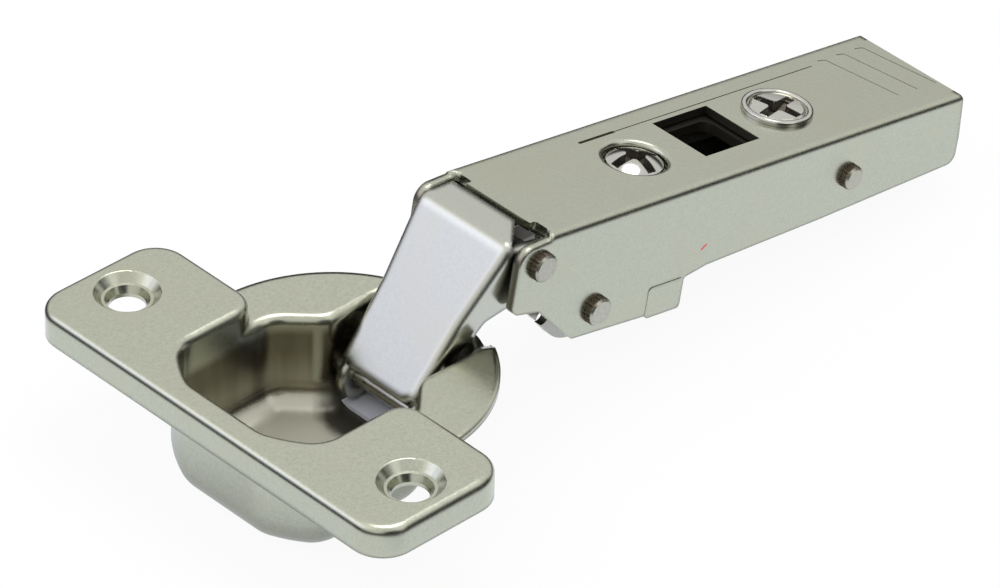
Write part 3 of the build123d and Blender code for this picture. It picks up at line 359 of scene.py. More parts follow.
def plated(
    name, colour, rough, mottle=1.0, grain=1.0, scratches=0.3, marks=(), worn=0.0, crisp=None
):
    """A plated sheet: warm metal, wavering roughness, a fine grain and a few light scratches.

    `worn` is the radius in millimetres to which tumbling has softened the sheet's edges, and
    `crisp` returns 1 where pressing or cutting after the tumbling left them sharp.
    """
    r = material(name)
    where = place(r)
    fine = noise(r, where, GRAIN_SCALE, 3.0, 0.65)
    lumps = noise(r, where, MOTTLE_SCALE, 2.0, 0.5)
    stains = noise(r, where, STAIN_SCALE, 3.0, 0.55)
    streaks = noise(r, place(r, SCRATCH_STRETCH, SCRATCH_TURN), SCRATCH_SCALE, 2.0, 0.5)
    scratch = band(r, streaks, SCRATCH_LOW, SCRATCH_HIGH) * scratches
    metal = plate_tone(r, colour, fine, lumps, stains, mottle)
    gloss = (fine - 0.5) * (0.12 * mottle) + (lumps - 0.5) * 0.06 + (stains - 0.5) * 0.08 + rough
    gloss = gloss + scratch * 0.12
    metallic = 1.0
    for mark in marks:
        share, tint, dullness, steel = mark(r, where)
        metal = mix(r, share, metal, tint)
        gloss = gloss + (dullness - gloss) * share
        metallic = metallic + (steel - metallic) * share
    height = fine * 0.6 + lumps * 0.5 - scratch * 0.5
    under = soft_edges(r, where, worn, crisp)
    values = {
        "Base Color": metal,
        "Metallic": metallic,
        "Roughness": gloss.clamp(),
        "Normal": bump(r, height, BUMP_STRENGTH * grain, BUMP_HIGH, under),
    }
    print("plated finish:", name, "with", len(marks), "marks")
    return r.finish("ShaderNodeOutputMaterial", r.node("ShaderNodeBsdfPrincipled", None, values))


# %% [markdown]
# ## Marks in the cup
#
# The cup is drawn from one sheet. Its hollow carries painted light and shade: the walls are painted
# dark brown under the flange and greyer lower down and in streaks, the floor is painted paler, and
# a near-black patch of painted shade lies in front of the pad. The marks could be painted on a map,
# but each of them follows the form: it works out its share from where the point is and which way
# the surface looks, as a product of bands. A band rises from 0 to 1 between two places, so a
# product of them is a soft-edged box.

# %% Inside the hollow
HOLLOW_SPREAD = 0.45
HOLLOW_MIDDLE_X = -3.0


def in_hollow(r, where, normal):
    """1 inside the cup's hollow: in its plan, on faces that look up or inwards.

    The plan's half width is that of the pocket, then of the neck, with a little to spare. A wall
    looks inwards where its normal points back at the middle of the pocket.
    """
    x, y, _ = axis_parts(r, where)
    out_x, out_y, up = axis_parts(r, normal)
    taper = band(r, x, SHOULDER_X, NECK_X)
    half = taper * (NECK_HALF - POCKET_HALF) + (POCKET_HALF + HOLLOW_SPREAD)
    inside = band(r, half - abs(y), 0.0, 0.1)
    inside = inside * band(r, x, POCKET_FRONT - 0.5, POCKET_FRONT - 0.4)
    inside = inside * band(r, x, NECK_END + 0.5, NECK_END + 0.4)
    inward = (x - HOLLOW_MIDDLE_X) * out_x * -0.1 - y * out_y * 0.1
    faces = (band(r, up, 0.2, 0.4) + band(r, inward, 0.0, 0.1)).clamp()
    return inside * faces * band(r, up, -0.3, -0.1)


print("hollow's half width in mm:", POCKET_HALF + HOLLOW_SPREAD, "to", NECK_HALF + HOLLOW_SPREAD)

# %% The drawn walls with painted shade, and the floor
# The walls' brown is painted shade under the flange. The floor's pale colour is painted light.
WALL_SHADE_BROWN, WALL_GREY, FLOOR_PALE = (0.13, 0.11, 0.07), (0.44, 0.41, 0.33), (0.56, 0.55, 0.46)


def wall_shade_and_streaks(r, where):
    """Painted shade on the hollow's walls: brown at the top, greyer lower down and in streaks."""
    normal = normal_of(r)
    z, up = axis_parts(r, where)[2], axis_parts(r, normal)[2]
    share = in_hollow(r, where, normal) * band(r, z, 0.0, -1.6) * band(r, up, 0.75, 0.35)
    streaks = noise(r, place(r, (0.45, 0.45, 0.05)), 1.0, 2.0, 0.5)
    lower = (band(r, z, -3.0, -8.0) * 0.6 + (streaks - 0.5) * 0.9).clamp()
    return share * 0.85, mix(r, lower, WALL_SHADE_BROWN, WALL_GREY), 0.27, 1.0


def pocket_floor(r, where):
    """A paler, matt floor to the hollow; the paler colour is painted light on its upward faces."""
    normal = normal_of(r)
    z, up = axis_parts(r, where)[2], axis_parts(r, normal)[2]
    share = in_hollow(r, where, normal) * band(r, z, -6.5, -8.5) * band(r, up, 0.45, 0.85)
    return share * 0.9, FLOOR_PALE, 0.40, 0.5


print("the walls go from", WALL_SHADE_BROWN, "to", WALL_GREY, "and the floor is", FLOOR_PALE)

# %% Painted shade on the floor, and sharp edges
# Where the near-black patch of painted shade lies on the hollow's floor, and its colour.
FLOOR_SHADE_X, FLOOR_SHADE_Y = 5.4, 3.0
FLOOR_SHADE_SPREAD_X, FLOOR_SHADE_SPREAD_Y = 9.0, 20.0
FLOOR_SHADE_BLACK = (0.035, 0.03, 0.022)
SINK_SHARP_R = 4.6


def painted_floor_shade(r, where):
    """Painted shade: a near-black patch on the floor of the hollow, in front of the pad.

    It is an ellipse whose edge a noise makes ragged. The two spreads are the squares of its half
    lengths in millimetres.
    """
    x, y, z = axis_parts(r, where)
    off_x, off_y = x - FLOOR_SHADE_X, y - FLOOR_SHADE_Y
    away = (off_x * off_x / FLOOR_SHADE_SPREAD_X + off_y * off_y / FLOOR_SHADE_SPREAD_Y) ** 0.5
    edge = (noise(r, where, 0.5, 2.0, 0.5) - 0.5) * 0.4
    share = band(r, away + edge, 1.25, 0.65) * band(r, z, -7.0, -8.5) * band(r, z, -10.9, -10.6)
    return share * 0.93, FLOOR_SHADE_BLACK, 0.32, 0.6


def cut_sinks(r, where):
    """1 in the two countersinks of the flange and inside the hollow, which are sharper."""
    x, y, z = axis_parts(r, where)
    across = abs(y) - SINK_Y
    away = ((x - SINK_X) * (x - SINK_X) + across * across) ** 0.5
    low = band(r, z, -0.6, -1.2) * band(r, x, POCKET_FRONT - 0.7, POCKET_FRONT - 0.6)
    sinks = band(r, away, SINK_SHARP_R, SINK_SHARP_R - 0.4)
    return (sinks + low * band(r, abs(y), 12.2, 12.0)).clamp()


print(f"grease: {2 * FLOOR_SHADE_SPREAD_X ** 0.5:.1f} by {2 * FLOOR_SHADE_SPREAD_Y ** 0.5:.1f} mm")

# %% [markdown]
# ## Marks on the arm
#
# The arm is folded from a strip. Its cut edges were sheared, so they are bare and brown. Painted
# shade darkens the walls inside the channel, the slit, the window and what lies in the arm's mouth.
# Each mark reads the arm's own u, y and w, which follow the arm's lean.

# %% Edges, inside and openings of the arm
# EDGE_BROWN is the sheared steel. The other four colours are painted shade.
EDGE_BROWN, INSIDE_SHADE = (0.30, 0.275, 0.22), (0.11, 0.10, 0.08)
SLIT_SHADE, WINDOW_SHADE, MOUTH_SHADE = (0.10, 0.07, 0.045), (0.045, 0.038, 0.028), (0.05, 0.042, 0.032)
WINDOW_HALF = 4.9
MOUTH_DEEP = 14.0


def pressed_plate(r, where):
    """1 on the arm's top plate between its bends, where grooves and holes were pressed last."""
    _, y, w = arm_parts(r, where)
    return band(r, abs(y), 7.0, 6.7) * band(r, w, -3.0, -2.8)


def sheared_edge(r, where):
    """Browner, duller steel on the arm's cut edges, which look along its walls, not along y."""
    _, y, w = arm_parts(r, where)
    side = abs(axis_parts(r, normal_of(r))[1])
    y = abs(y)
    share = band(r, side, 0.35, 0.15) * band(r, y, 7.2, 7.45) * band(r, y, 8.38, 8.34)
    return share * band(r, w, -0.9, -1.3) * 0.8, EDGE_BROWN, 0.42, 1.0


def channel_shade(r, where):
    """Painted shade, dark and dull, on the walls inside the arm's channel."""
    _, y, w = arm_parts(r, where)
    share = band(r, abs(y), 7.5, 7.44) * band(r, w, -1.05, -1.25)
    return share * 0.85, INSIDE_SHADE, 0.42, 0.9


def slit_shade(r, where):
    """Painted shade in the short slit at the front end of the top plate's groove."""
    u, y, w = arm_parts(r, where)
    ends = band(r, u, SLIT_START - 0.1, SLIT_START + 0.1)
    ends = ends * band(r, u, SLIT_END + 0.3, SLIT_END - 0.3)
    share = ends * band(r, abs(y - SLIT_Y), 0.26, 0.12) * band(r, w, -0.6, -0.5)
    return share * 0.85, SLIT_SHADE, 0.5, 0.8


def window_shade(r, where):
    """Painted shade in the window: the plate's cut edge and the ledge under it are near black."""
    u, y, w = arm_parts(r, where)
    u, y = abs(u - WINDOW_U), abs(y - WINDOW_Y)
    share = band(r, u, WINDOW_HALF, WINDOW_HALF - 0.3) * band(r, y, WINDOW_HALF, WINDOW_HALF - 0.3)
    share = share * band(r, w, -0.06, -0.16)
    return share * band(r, w, -6.0, -5.0) * 0.94, WINDOW_SHADE, 0.40, 0.8


def mouth_shadow(r, where):
    """Painted shade on what lies inside the arm's mouth, behind its front edge."""
    u, _, w = arm_parts(r, where)
    share = band(r, u, 0.2, 1.0) * band(r, u, MOUTH_DEEP, MOUTH_DEEP - 2.0)
    share = share * band(r, w, -12.5, -11.5)
    return share * 0.9, MOUTH_SHADE, 0.40, 0.8


print("the window's dark ledge is", 2 * WINDOW_HALF, "mm square, the mouth", MOUTH_DEEP, "mm deep")

# %% A stroke of ink
INK_RED = (0.78, 0.07, 0.08)
INK_U, INK_W, INK_LEAN = 25.2, -8.3, math.radians(35.0)


def red_stroke(r, where):
    """A short stroke of red ink on one wall of the arm, 0.9 mm long and a quarter wide."""
    middle = ARM_CORNER + ALONG * INK_U + UP * INK_W
    line = ALONG * math.cos(INK_LEAN) + UP * math.sin(INK_LEAN)
    over = UP * math.cos(INK_LEAN) - ALONG * math.sin(INK_LEAN)
    length = band(r, abs(reach(r, where, line, middle)), 0.56, 0.40)
    width = band(r, abs(reach(r, where, over, middle)), 0.20, 0.08)
    near = band(r, axis_parts(r, where)[1], -WALL_Y + 0.1, -WALL_Y + 0.05)
    return length * width * near * 0.95, INK_RED, 0.45, 0.3


print("the stroke's middle is at u", INK_U, "and w", INK_W)

# %% [markdown]
# ## The finishes
#
# One recipe makes all the steel: the body colour, how rough it is and which marks it has change
# from part to part. The links are plated brighter than the stampings, and the screws are polished.

# %% Steel parts
NICKEL, BRIGHT_NICKEL = (0.445, 0.455, 0.37), (0.475, 0.48, 0.425)
STEEL, DARK_STEEL = (0.42, 0.41, 0.35), (0.15, 0.125, 0.095)
CARRIER_GREY, SPRING_GREY, INNER_GREY = (0.30, 0.29, 0.25), (0.36, 0.35, 0.33), (0.36, 0.355, 0.32)

ARM_MARKS = (sheared_edge, channel_shade, window_shade, slit_shade, red_stroke)
CUP_MARKS = (wall_shade_and_streaks, pocket_floor, painted_floor_shade)
satin_nickel = plated(
    "satin_nickel", NICKEL, 0.25, marks=ARM_MARKS, worn=0.9, crisp=pressed_plate
)
cup_nickel = plated("cup_nickel", NICKEL, 0.22, marks=CUP_MARKS, worn=1.0, crisp=cut_sinks)
link_nickel = plated("link_nickel", BRIGHT_NICKEL, 0.20, mottle=0.5, grain=0.6, worn=1.3)
pin_steel = plated("pin_steel", STEEL, 0.32, mottle=2.2, scratches=0.6)
tooth_steel = plated("tooth_steel", DARK_STEEL, 0.42, mottle=1.4)
carrier_steel = plated("carrier_steel", CARRIER_GREY, 0.34, marks=(window_shade,))
spring_steel = plated("spring_steel", SPRING_GREY, 0.30)
inner_steel = plated("inner_steel", INNER_GREY, 0.32, mottle=1.2, marks=(mouth_shadow,))


# %% [markdown]
# ## The grey pad
#
# A small moulded pad lies on the floor of the cup's neck and stops the links from knocking on
# the steel. Acetal is slightly waxy: a pale bluish grey with a low sheen and a very fine spark
# texture from the mould. It isn't metal, so it gets a plain recipe of its own.

# %% The pad's plastic
PAD_DARK, PAD_PALE, SPARK_SCALE = (0.68, 0.70, 0.77), (0.78, 0.80, 0.87), 6.0

r = material("pad_plastic")
spark = noise(r, place(r), SPARK_SCALE, 2.0, 0.6)
shade = mix(r, spark, PAD_DARK, PAD_PALE)
pad_values = {
    "Base Color": shade,
    "Roughness": (spark - 0.5) * 0.2 + 0.42,
    "Normal": bump(r, spark, 0.25, 0.01),
}
pad_plastic = r.finish(
    "ShaderNodeOutputMaterial", r.node("ShaderNodeBsdfPrincipled", None, pad_values)
)
print("the pad's texture has", SPARK_SCALE, "lumps in a millimetre")

# %% [markdown]
# ## Dressing the frame's parts
#
# A part of the frame keeps its mesh and its place, and only its material changes. A table says
# which finish each part wears; parts that were plated in one batch share one.

# %% Give each part its finish
FINISH = {
    "hinge_cup": cup_nickel,
    "cup_shackle_pin": pin_steel,
    "cup_buffer_pad": pad_plastic,
    "outer_link": link_nickel,
    "inner_link": inner_steel,
    "outer_link_rivet": pin_steel,
    "inner_link_rivet": pin_steel,
    "catch_pin": pin_steel,
    "closing_spring": spring_steel,
    "catch_spring": spring_steel,
    "hinge_arm": satin_nickel,
    "adjust_carrier": carrier_steel,
    "catch_lever": inner_steel,
}
for node_name, look in FINISH.items():
    piece = nodes[node_name]
    piece.data.materials.clear()
    piece.data.materials.append(look)
print("finished parts:", len(FINISH))

# %% [markdown]
# ## Serrated rivet heads
#
# Each rivet's head is held in a collet while its other end is formed, and the collet leaves fine
# teeth round its side. A bump could hint at them, but these teeth show in the head's outline. So
# they are a ring with a saw-tooth edge, and the shadow between two teeth is real. A ring is a
# profile carried round a circle: its radius is the head's radius plus a tooth, and the tooth
# rises and falls once over each of equal steps of the angle.

# %% A toothed ring
TEETH, TOOTH_STEPS, TOOTH = 22, 8, 0.09
STEPS = TOOTH_STEPS * TEETH
RIVET_R = {"outer_link_rivet": 1.6, "inner_link_rivet": 1.6, "catch_pin": 1.35}
RING_IN, RING_CLEAR = 0.12, 0.01
TEETH_TOP, SHOULDER_TOP, INSIDE_TOP = 0.68, 0.78, 0.62
TEETH_FOOT, INSIDE_FOOT = 0.05, 0.03


def arm_points(u, y, w):
    """Arrays of the arm's own u, y and w, as points of the frame in metres."""
    x = ARM_CORNER.x + u * ALONG.x + w * UP.x
    z = ARM_CORNER.z + u * ALONG.z + w * UP.z
    return np.stack([x, y, z], axis=-1) * MM


def toothed_ring(centre, head_r, side):
    """A closed ring of teeth round a rivet's head, on the wall at y = side * WALL_Y.

    The profile has five points (radius, height): it starts inside the head, runs up to the
    shoulder, out over the teeth, down to the wall, and back inside. The teeth's radius is
    head_r + RING_CLEAR + TOOTH * (1 - |2 t - 1|), where t runs from 0 to 1 over each tooth.
    """
    angle = np.arange(STEPS) * (2 * math.pi / STEPS)
    t = (np.arange(STEPS) % TOOTH_STEPS) / TOOTH_STEPS
    tooth = TOOTH * (1.0 - np.abs(2.0 * t - 1.0))
    inside = np.full(STEPS, head_r - RING_IN)
    outside = head_r + RING_CLEAR + tooth
    shoulder = head_r - RING_CLEAR + 0.5 * tooth
    rows = [
        (inside, INSIDE_TOP),
        (shoulder, SHOULDER_TOP),
        (outside, TEETH_TOP),
        (outside, TEETH_FOOT),
        (inside, INSIDE_FOOT),
    ]
    radius = np.stack([row[0] for row in rows])
    height = np.stack([np.full(STEPS, row[1]) for row in rows])
    u = centre[0] + radius * np.cos(angle)
    w = centre[1] + radius * np.sin(angle)
    return arm_points(u, side * (WALL_Y + height), w)


def ring_faces(rows, steps, flip):
    """Quads of a surface that closes both ways: round the circle and round the profile."""
    row, step = np.meshgrid(np.arange(rows), np.arange(steps), indexing="ij")
    a = row * steps + step
    b = row * steps + (step + 1) % steps
    c = ((row + 1) % rows) * steps + (step + 1) % steps
    d = ((row + 1) % rows) * steps + step
    quads = np.stack([a, b, c, d], axis=-1).reshape(-1, 4)
    return quads[:, ::-1] if flip else quads


print("a ring's outline:", STEPS, "steps round, teeth", TOOTH, "mm high")


# %% A piece of the scene
def add_piece(name, points, faces, look, body, stands_for=None):
    """Put a computed surface into a mesh object, attach it to its body and hide the part it
    replaces.
    """
    mesh = bpy.data.meshes.new(name)
    mesh.from_pydata(points.reshape(-1, 3).tolist(), [], faces)
    made = bpy.data.objects.new(name, mesh)
    bpy.context.scene.collection.objects.link(made)
    mesh.materials.append(look)
    if stands_for:
        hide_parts(stands_for)
    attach(made, body)
    print(f"{name}: {len(points.reshape(-1, 3))} points, {len(faces)} faces, rides on {body}")
    return made


# %% Six toothed rings
for rivet_name, centre in RIVETS.items():
    for side, word in ((-1, "near"), (1, "far")):
        points = toothed_ring(centre, RIVET_R[rivet_name], side)
        faces = ring_faces(points.shape[0], STEPS, side > 0).tolist()
        add_piece(f"{rivet_name}_teeth_{word}", points, faces, tooth_steel, "arm")

# %% [markdown]
# ## The two screws
#
# The two screw heads are what the eye goes to, so each screw is made again with a finer surface.
# A recess could be cut with a boolean, but that leaves ragged triangles on a polished head. Here
# a profile is carried round the screw's axis, and the recess is pressed into it: a point's height
# is the head's own height less a share times the recess's depth there. The share goes from 0 to 1
# over a tenth of a millimetre, which makes the recess's wall. It is kept on the mesh as an
# attribute, and the finish reads it back to paint shade into the recess, almost black beside the
# bright head.

# %% A cross in the turning
ROUND_STEPS = 320
PHI = np.arange(ROUND_STEPS) * (2 * math.pi / ROUND_STEPS)
CROSS_MIDDLE_R, CROSS_TAPER = 1.05, 0.12
WALL_HALF, END_HALF = 0.05, 0.06
END_DEPTH = 0.3


def ease(value, low, high):
    """0 below low, 1 above high, 3 t^2 - 2 t^3 between them."""
    t = np.clip((value - low) / (high - low), 0.0, 1.0)
    return t * t * (3.0 - 2.0 * t)


def cross_share(radius, turn, half_wide, end):
    """1 in a cross of two arms and a round middle, 0 outside it, with a wall 0.1 mm wide.

    An arm is |across| < half_wide * (1 - CROSS_TAPER * radius / end) and |along| < end.
    """
    a = radius * np.cos(PHI - turn)
    b = radius * np.sin(PHI - turn)
    taper = half_wide * (1.0 - CROSS_TAPER * radius / end)
    arms = [
        ease(taper - np.abs(across), -WALL_HALF, WALL_HALF)
        * ease(end - np.abs(along), -END_HALF, END_HALF)
        for along, across in ((a, b), (b, a))
    ]
    middle = ease(CROSS_MIDDLE_R - radius, -WALL_HALF, WALL_HALF) * np.ones(ROUND_STEPS)
    return np.maximum(np.maximum(*arms), middle)


def struck_rows(heights, radii, turn, half_wide, end, deepest):
    """Rows of the head: its height less the recess, which is deepest in the middle.

    The depth falls in a straight line from `deepest` at the axis to END_DEPTH of it at the ends
    of the arms.
    """
    rows = []
    for height, radius in zip(heights, radii):
        share = cross_share(radius, turn, half_wide, end)
        depth = deepest * max(END_DEPTH, 1.0 - (1.0 - END_DEPTH) * radius / end)
        rows.append((np.full(ROUND_STEPS, radius), height - share * depth, share))
    return rows


print("a screw's outline has", ROUND_STEPS, "steps")

# %% [markdown]
# ## Shanks and threads
#
# Below the head the surface is plain, and only the side screw's shank has a thread. A thread is
# often modelled as a coil swept round a rod. In the same way as the recess, it can also be part
# of the turned surface: the radius waves once for each pitch down the shank, and the wave turns
# with the angle, so that it climbs.

# %% Rows below the head
ROW_SPACING, ROWS_PER_PITCH = 0.12, 8


def plain_rows(profile, spacing=ROW_SPACING):
    """Rows along a profile of (radius, height) corners, none further apart than the spacing."""
    rows = []
    for (r0, w0), (r1, w1) in zip(profile, profile[1:]):
        count = max(1, round(math.hypot(r1 - r0, w1 - w0) / spacing))
        for k in range(1, count + 1):
            t = k / count
            radius = np.full(ROUND_STEPS, r0 + (r1 - r0) * t)
            rows.append((radius, np.full(ROUND_STEPS, w0 + (w1 - w0) * t), np.zeros(ROUND_STEPS)))
    return rows


def threaded_rows(radius, top, foot, pitch, deep):
    """Rows down a shank whose radius waves: radius - deep * (1 - |2 t - 1|).

    t is the fraction of w / pitch + phi / (2 pi), so one wave climbs a pitch in a turn.
    """
    rows = []
    for w in np.arange(top, foot, -pitch / ROWS_PER_PITCH):
        t = (w / pitch + PHI / (2 * math.pi)) % 1.0
        waved = radius - deep * (1.0 - np.abs(2.0 * t - 1.0))
        rows.append((waved, np.full(ROUND_STEPS, w), np.zeros(ROUND_STEPS)))
    return rows


print("rows lie up to", ROW_SPACING, "mm apart, with", ROWS_PER_PITCH, "to a pitch of the thread")


# %% Closing a turned surface
def turned_faces(row_count):
    """Quads between the rows, and a fan of triangles to a point at each end."""
    row, step = np.meshgrid(np.arange(row_count - 1), np.arange(ROUND_STEPS), indexing="ij")
    after = (step + 1) % ROUND_STEPS
    corners = [(row, step), (row + 1, step), (row + 1, after), (row, after)]
    quads = np.stack([ring * ROUND_STEPS + k for ring, k in corners], axis=-1).reshape(-1, 4)
    first = row_count * ROUND_STEPS
    foot = first - ROUND_STEPS
    around = np.arange(ROUND_STEPS)
    onwards = (around + 1) % ROUND_STEPS
    top_fan = np.stack([np.full(ROUND_STEPS, first), around, onwards], axis=-1)
    foot_fan = np.stack([np.full(ROUND_STEPS, first + 1), foot + onwards, foot + around], axis=-1)
    return quads.tolist() + top_fan.tolist() + foot_fan.tolist()


def turned_screw(name, node, centre_u, rows, look, body):
    """Close the rows with a point at each end, place them on the arm and replace the node."""
    radius = np.stack([row[0] for row in rows])
    height = np.stack([row[1] for row in rows])
    struck = np.stack([row[2] for row in rows]).ravel()
    u = np.append((centre_u + radius * np.cos(PHI)).ravel(), [centre_u, centre_u])
    y = np.append((radius * np.sin(PHI)).ravel(), [0.0, 0.0])
    w = np.append(height.ravel(), [height[0].mean(), height[-1].mean()])
    faces = turned_faces(len(rows))
    made = add_piece(name, arm_points(u, y, w), faces, look, body, node)
    made.data.attributes.new("struck", "FLOAT", "POINT")
    made.data.attributes["struck"].data.foreach_set("value", np.append(struck, [1.0, 0.0]))
    return made


print("a surface of 100 rows has", len(turned_faces(100)), "faces")

# %% The screws' finish
# RECESS_SHADE's colour is the painted shade in the cross recess.
CHROME, RECESS_SHADE = (0.50, 0.495, 0.45), (0.055, 0.045, 0.03)


def struck_dark(r, where):
    """Painted shade, near black, in the cross recess, read from the mesh's own attribute."""
    share = r.node("ShaderNodeAttribute", {"attribute_name": "struck"}, out="Fac")
    return share * 0.93, RECESS_SHADE, 0.42, 0.9


screw_chrome = plated("screw_chrome", CHROME, 0.15, mottle=0.4, grain=0.4, marks=(struck_dark,))

# %% The side screw: domed head, thread and point
HEAD_R, HEAD_TOP, HEAD_RIM, HEAD_UNDER = 3.3, 0.42, -0.55, -1.2
DOME_POWER, HEAD_ROUND = 2.2, 0.2
SHANK_R, SHANK_FOOT, POINT_R, TIP_R = 2.0, -9.2, 1.3, 0.3
PITCH, THREAD_DEEP = 0.8, 0.34
SIDE_TURN, SIDE_ARM, SIDE_END, SIDE_DEEP = math.radians(-4.0), 0.60, 2.95, 1.75
ROW_STEP = 0.04

head_radii = np.arange(ROW_STEP, HEAD_R - 0.02, ROW_STEP)
dome = HEAD_TOP - (HEAD_TOP - HEAD_RIM) * (head_radii / HEAD_R) ** DOME_POWER
side_rows = struck_rows(dome, head_radii, SIDE_TURN, SIDE_ARM, SIDE_END, SIDE_DEEP)
side_rows += plain_rows([
    (head_radii[-1], dome[-1]),
    (HEAD_R, HEAD_RIM - 0.12),
    (HEAD_R, HEAD_UNDER + HEAD_ROUND),
    (HEAD_R - HEAD_ROUND, HEAD_UNDER),
    (SHANK_R, HEAD_UNDER),
])
side_rows += threaded_rows(SHANK_R, HEAD_UNDER - 0.3, SHANK_FOOT + 0.5, PITCH, THREAD_DEEP)
side_rows += plain_rows([
    (SHANK_R - THREAD_DEEP, SHANK_FOOT + 0.45), (POINT_R, SHANK_FOOT), (TIP_R, SHANK_FOOT)
])
turned_screw(
    "side_screw_fine", "side_adjust_screw", FRONT_SCREW_U, side_rows, screw_chrome, "side_screw"
)
print("side screw rows:", len(side_rows))

# %% The depth cam: a dished disc in a ring, and an eccentric plate below
DISC_TOP, DISC_R, DISC_DISH, DISC_FOOT = 0.53, 3.25, 0.10, 0.20
RING_R, RING_TOP, RING_FOOT, BEAD_POWER, BEAD_POINTS = 4.1, 0.64, 0.02, 0.6, 14
NECK_R = 2.5
PLATE_TOP, PLATE_FOOT, PLATE_R, PLATE_OFF, PLATE_HOLE = -2.6, -3.3, 3.4, 0.5, 0.4
CAM_TURN, CAM_ARM, CAM_END, CAM_DEEP = math.radians(13.0), 0.62, 2.85, 1.85

disc_radii = np.arange(ROW_STEP, DISC_R - 0.30, ROW_STEP)
dished = DISC_TOP - DISC_DISH * (disc_radii / DISC_R) ** 2
cam_rows = struck_rows(dished, disc_radii, CAM_TURN, CAM_ARM, CAM_END, CAM_DEEP)
bead = np.linspace(0.0, math.pi, BEAD_POINTS)
bead_in = DISC_R + 0.1
bead_r = (RING_R + bead_in) / 2 - (RING_R - bead_in) / 2 * np.cos(bead)
bead_w = DISC_FOOT + (RING_TOP - DISC_FOOT) * np.sin(bead) ** BEAD_POWER
cam_rows += plain_rows([
    (disc_radii[-1], dished[-1]),
    (DISC_R, DISC_FOOT),
    *zip(bead_r.tolist(), bead_w.tolist()),
    (RING_R, RING_FOOT),
    (NECK_R, RING_FOOT),
    (NECK_R, PLATE_TOP),
])
spiral = PLATE_OFF * np.sin(PHI) + np.sqrt(PLATE_R**2 - (PLATE_OFF * np.cos(PHI)) ** 2)
for edge, w in ((spiral, PLATE_TOP), (spiral, PLATE_FOOT), (PLATE_HOLE * spiral, PLATE_FOOT)):
    cam_rows.append((edge, np.full(ROUND_STEPS, w), np.zeros(ROUND_STEPS)))
turned_screw(
    "depth_cam_fine", "depth_adjust_cam", REAR_SCREW_U, cam_rows, screw_chrome, "depth_cam"
)
print("depth cam rows:", len(cam_rows))

# %% [markdown]
# ## The studio
#
# Polished metal shows what is round it, so the studio is built for its reflections rather than
# for its light. The hinge stands on a white table that ends a hand's breadth away. Beyond it the
# room is dark, and this level band draws the thin dark lines along the rounded edges. To the
# camera itself the floor and the room are plain white, and Light Path tells the three kinds of
# ray apart.

# %% The floor
FLOOR_Z, FLOOR_HALF = cad_box[0][2] - 0.02 * MM, 3.0
TABLE_MIDDLE_X, TABLE_X, TABLE_Y, TABLE_FADE = 0.033, 0.078, 0.042, 0.020
CUP_SHADE, CUP_SHADE_OUT, CUP_SHADE_IN = 0.45, 0.030, 0.016
WHITE, PAPER, COOL_WHITE = (1.0, 1.0, 1.0), (0.86, 0.86, 0.86), (0.90, 0.936, 1.0)
TABLE_BRIGHT, BEYOND_BRIGHT = 1.19, 0.05
CAMERA_GLOW, GLOSSY_GLOW = 0.93, 0.92

floor_mesh = bpy.data.meshes.new("floor")
corners = np.array([[-1, -1], [1, -1], [1, 1], [-1, 1]], float) * FLOOR_HALF
floor_points = np.column_stack([corners, np.full(4, FLOOR_Z)])
floor_mesh.from_pydata(floor_points.tolist(), [], [(0, 1, 2, 3)])
floor = bpy.data.objects.new("floor", floor_mesh)
bpy.context.scene.collection.objects.link(floor)

r = material("pale_floor")
x, y, _ = axis_parts(r, r.node("ShaderNodeTexCoord", out="Object"))
table = band(r, abs(x - TABLE_MIDDLE_X), TABLE_X + TABLE_FADE, TABLE_X)
table = table * band(r, abs(y), TABLE_Y + TABLE_FADE, TABLE_Y)
under_cup = band(r, (x * x + y * y) ** 0.5, CUP_SHADE_OUT, CUP_SHADE_IN)
table = table * (1.0 - under_cup * CUP_SHADE)
camera_ray = r.node("ShaderNodeLightPath", out="Is Camera Ray")
glossy_ray = r.node("ShaderNodeLightPath", out="Is Glossy Ray")
paper = r.node("ShaderNodeBsdfDiffuse", None, {"Color": rgba(PAPER)})
glow = r.node("ShaderNodeEmission", None, {"Color": rgba(WHITE), "Strength": 1.0})
lit = table * TABLE_BRIGHT + BEYOND_BRIGHT
mirrored = r.node("ShaderNodeEmission", None, {"Color": rgba(COOL_WHITE), "Strength": lit})
seen = r.node("ShaderNodeMixShader", None, {0: camera_ray * CAMERA_GLOW, 1: paper, 2: glow})
seen = r.node("ShaderNodeMixShader", None, {0: glossy_ray * GLOSSY_GLOW, 1: seen, 2: mirrored})
floor_mesh.materials.append(r.finish("ShaderNodeOutputMaterial", seen))
print("table in mm:", [round(2 * half / MM) for half in (TABLE_X, TABLE_Y)])

# %% [markdown]
# ## The light tent
#
# Above the dark band an even tent of light covers the table. One large, slightly cool box of
# light stands to the camera's left, and three dark gaps in the tent give the faces that look at
# them their deeper grey. Sheets and cards could be built round the hinge, but here the box and
# the gaps are soft-edged discs on the world's sky, so they need no objects.


# %% A disc on the sky
def lobe(r, direction, aim, inner, outer):
    """1 within `inner` degrees of an aim, 0 past `outer` degrees, smooth between them."""
    facing_it = reach(r, direction, Vector(aim).normalized())
    low, high = math.cos(math.radians(outer)), math.cos(math.radians(inner))
    return band(r, facing_it, low, high)


TENT, ROOM, SOFT_BOX = 1.0, 0.04, 0.60
TENT_LOW, TENT_HIGH = 0.12, 0.31
BOX_TINT = (0.97, 0.99, 1.22)
BOX_LOBE = ((-0.62, 0.58, 0.53), 13.0, 28.0)
GAPS = {
    "near": ((0.70, -0.66, 0.27), 14.0, 30.0),
    "side": ((-0.82, 0.55, 0.12), 12.0, 24.0),
    "front": ((-0.30, -0.90, 0.24), 15.0, 30.0),
}
print("dark gaps in the tent:", ", ".join(GAPS))

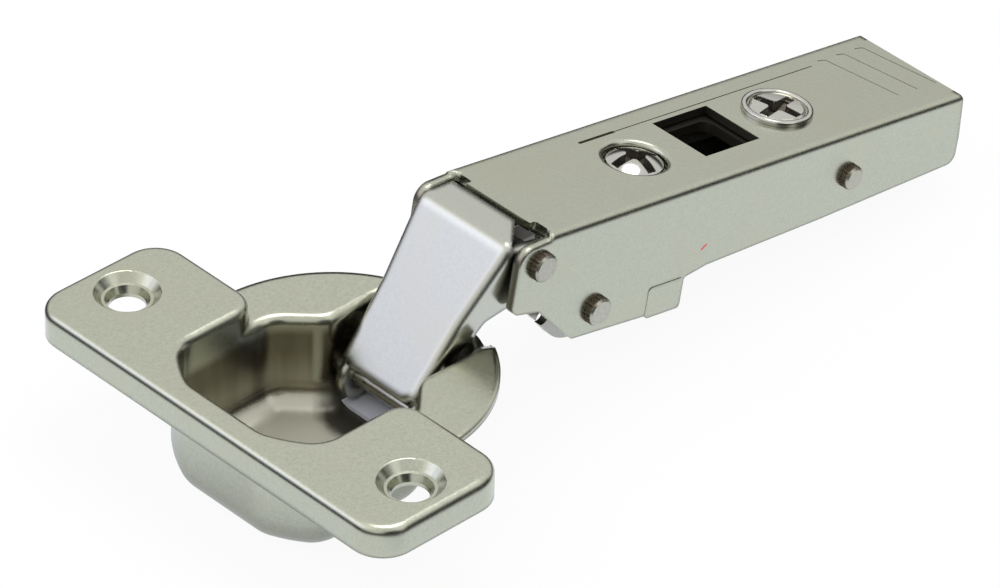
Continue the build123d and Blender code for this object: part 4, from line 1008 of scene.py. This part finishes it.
# %% The sky
world = bpy.data.worlds.new("light_tent")
bpy.context.scene.world = world
r = Recipe(world)
towards = r.node("ShaderNodeTexCoord", out="Generated")
soft_box = lobe(r, towards, *BOX_LOBE)
open_part = band(r, axis_parts(r, towards)[2], TENT_LOW, TENT_HIGH)
for aim, inner, outer in GAPS.values():
    open_part = open_part * (1.0 - lobe(r, towards, aim, inner, outer))
strength = open_part * (TENT - ROOM) + ROOM + soft_box * SOFT_BOX
tint = mix(r, soft_box * 0.9, WHITE, BOX_TINT)
camera_ray = r.node("ShaderNodeLightPath", out="Is Camera Ray")
tent = r.node("ShaderNodeBackground", None, {"Color": tint, "Strength": strength})
white = r.node("ShaderNodeBackground", None, {"Color": rgba(WHITE), "Strength": 1.0})
both = r.node("ShaderNodeMixShader", None, {0: camera_ray, 1: tent, 2: white})
r.finish("ShaderNodeOutputWorld", both)
print("nodes in the sky:", len(world.node_tree.nodes))

# %% [markdown]
# ## Three soft lamps
#
# The tent alone gives hardly a shadow to stand on. Three round lamps add one: a wide one from
# the left, a smaller one overhead and a weak one from the right. They are round, because a square
# lamp would leave a square highlight on the domed screw.


# %% Soft lamps
def soft_lamp(name, direction, distance, size, power):
    """A round area lamp that looks at the hinge from a direction."""
    data = bpy.data.lights.new(name, "AREA")
    data.shape, data.size, data.energy = "DISK", size, power
    lamp = bpy.data.objects.new(name, data)
    bpy.context.scene.collection.objects.link(lamp)
    way = Vector(direction).normalized()
    turned = way.to_track_quat("Z", "Y").to_matrix().to_4x4()
    lamp.matrix_world = Matrix.Translation(AIM + way * distance) @ turned
    print(f"{name}: {power} W, {size} m across, {distance} m away")
    return lamp


soft_lamp("key", (-0.5, 0.35, 0.9), 0.9, 0.9, 0.7)
soft_lamp("overhead", (0.27, 0.15, 0.95), 0.8, 0.40, 1.6)
soft_lamp("fill", (0.5, -0.8, 0.9), 0.9, 0.8, 0.5)

bpy.context.scene.view_settings.view_transform = "Standard"

# %% [markdown]
# ## The last update
#
# The frame's box was printed at the start; this last cell only brings the view layer up to date.
# The dressed hinge has to stay inside the frame's box.

# %% Bring the scene up to date
bpy.context.view_layer.update()
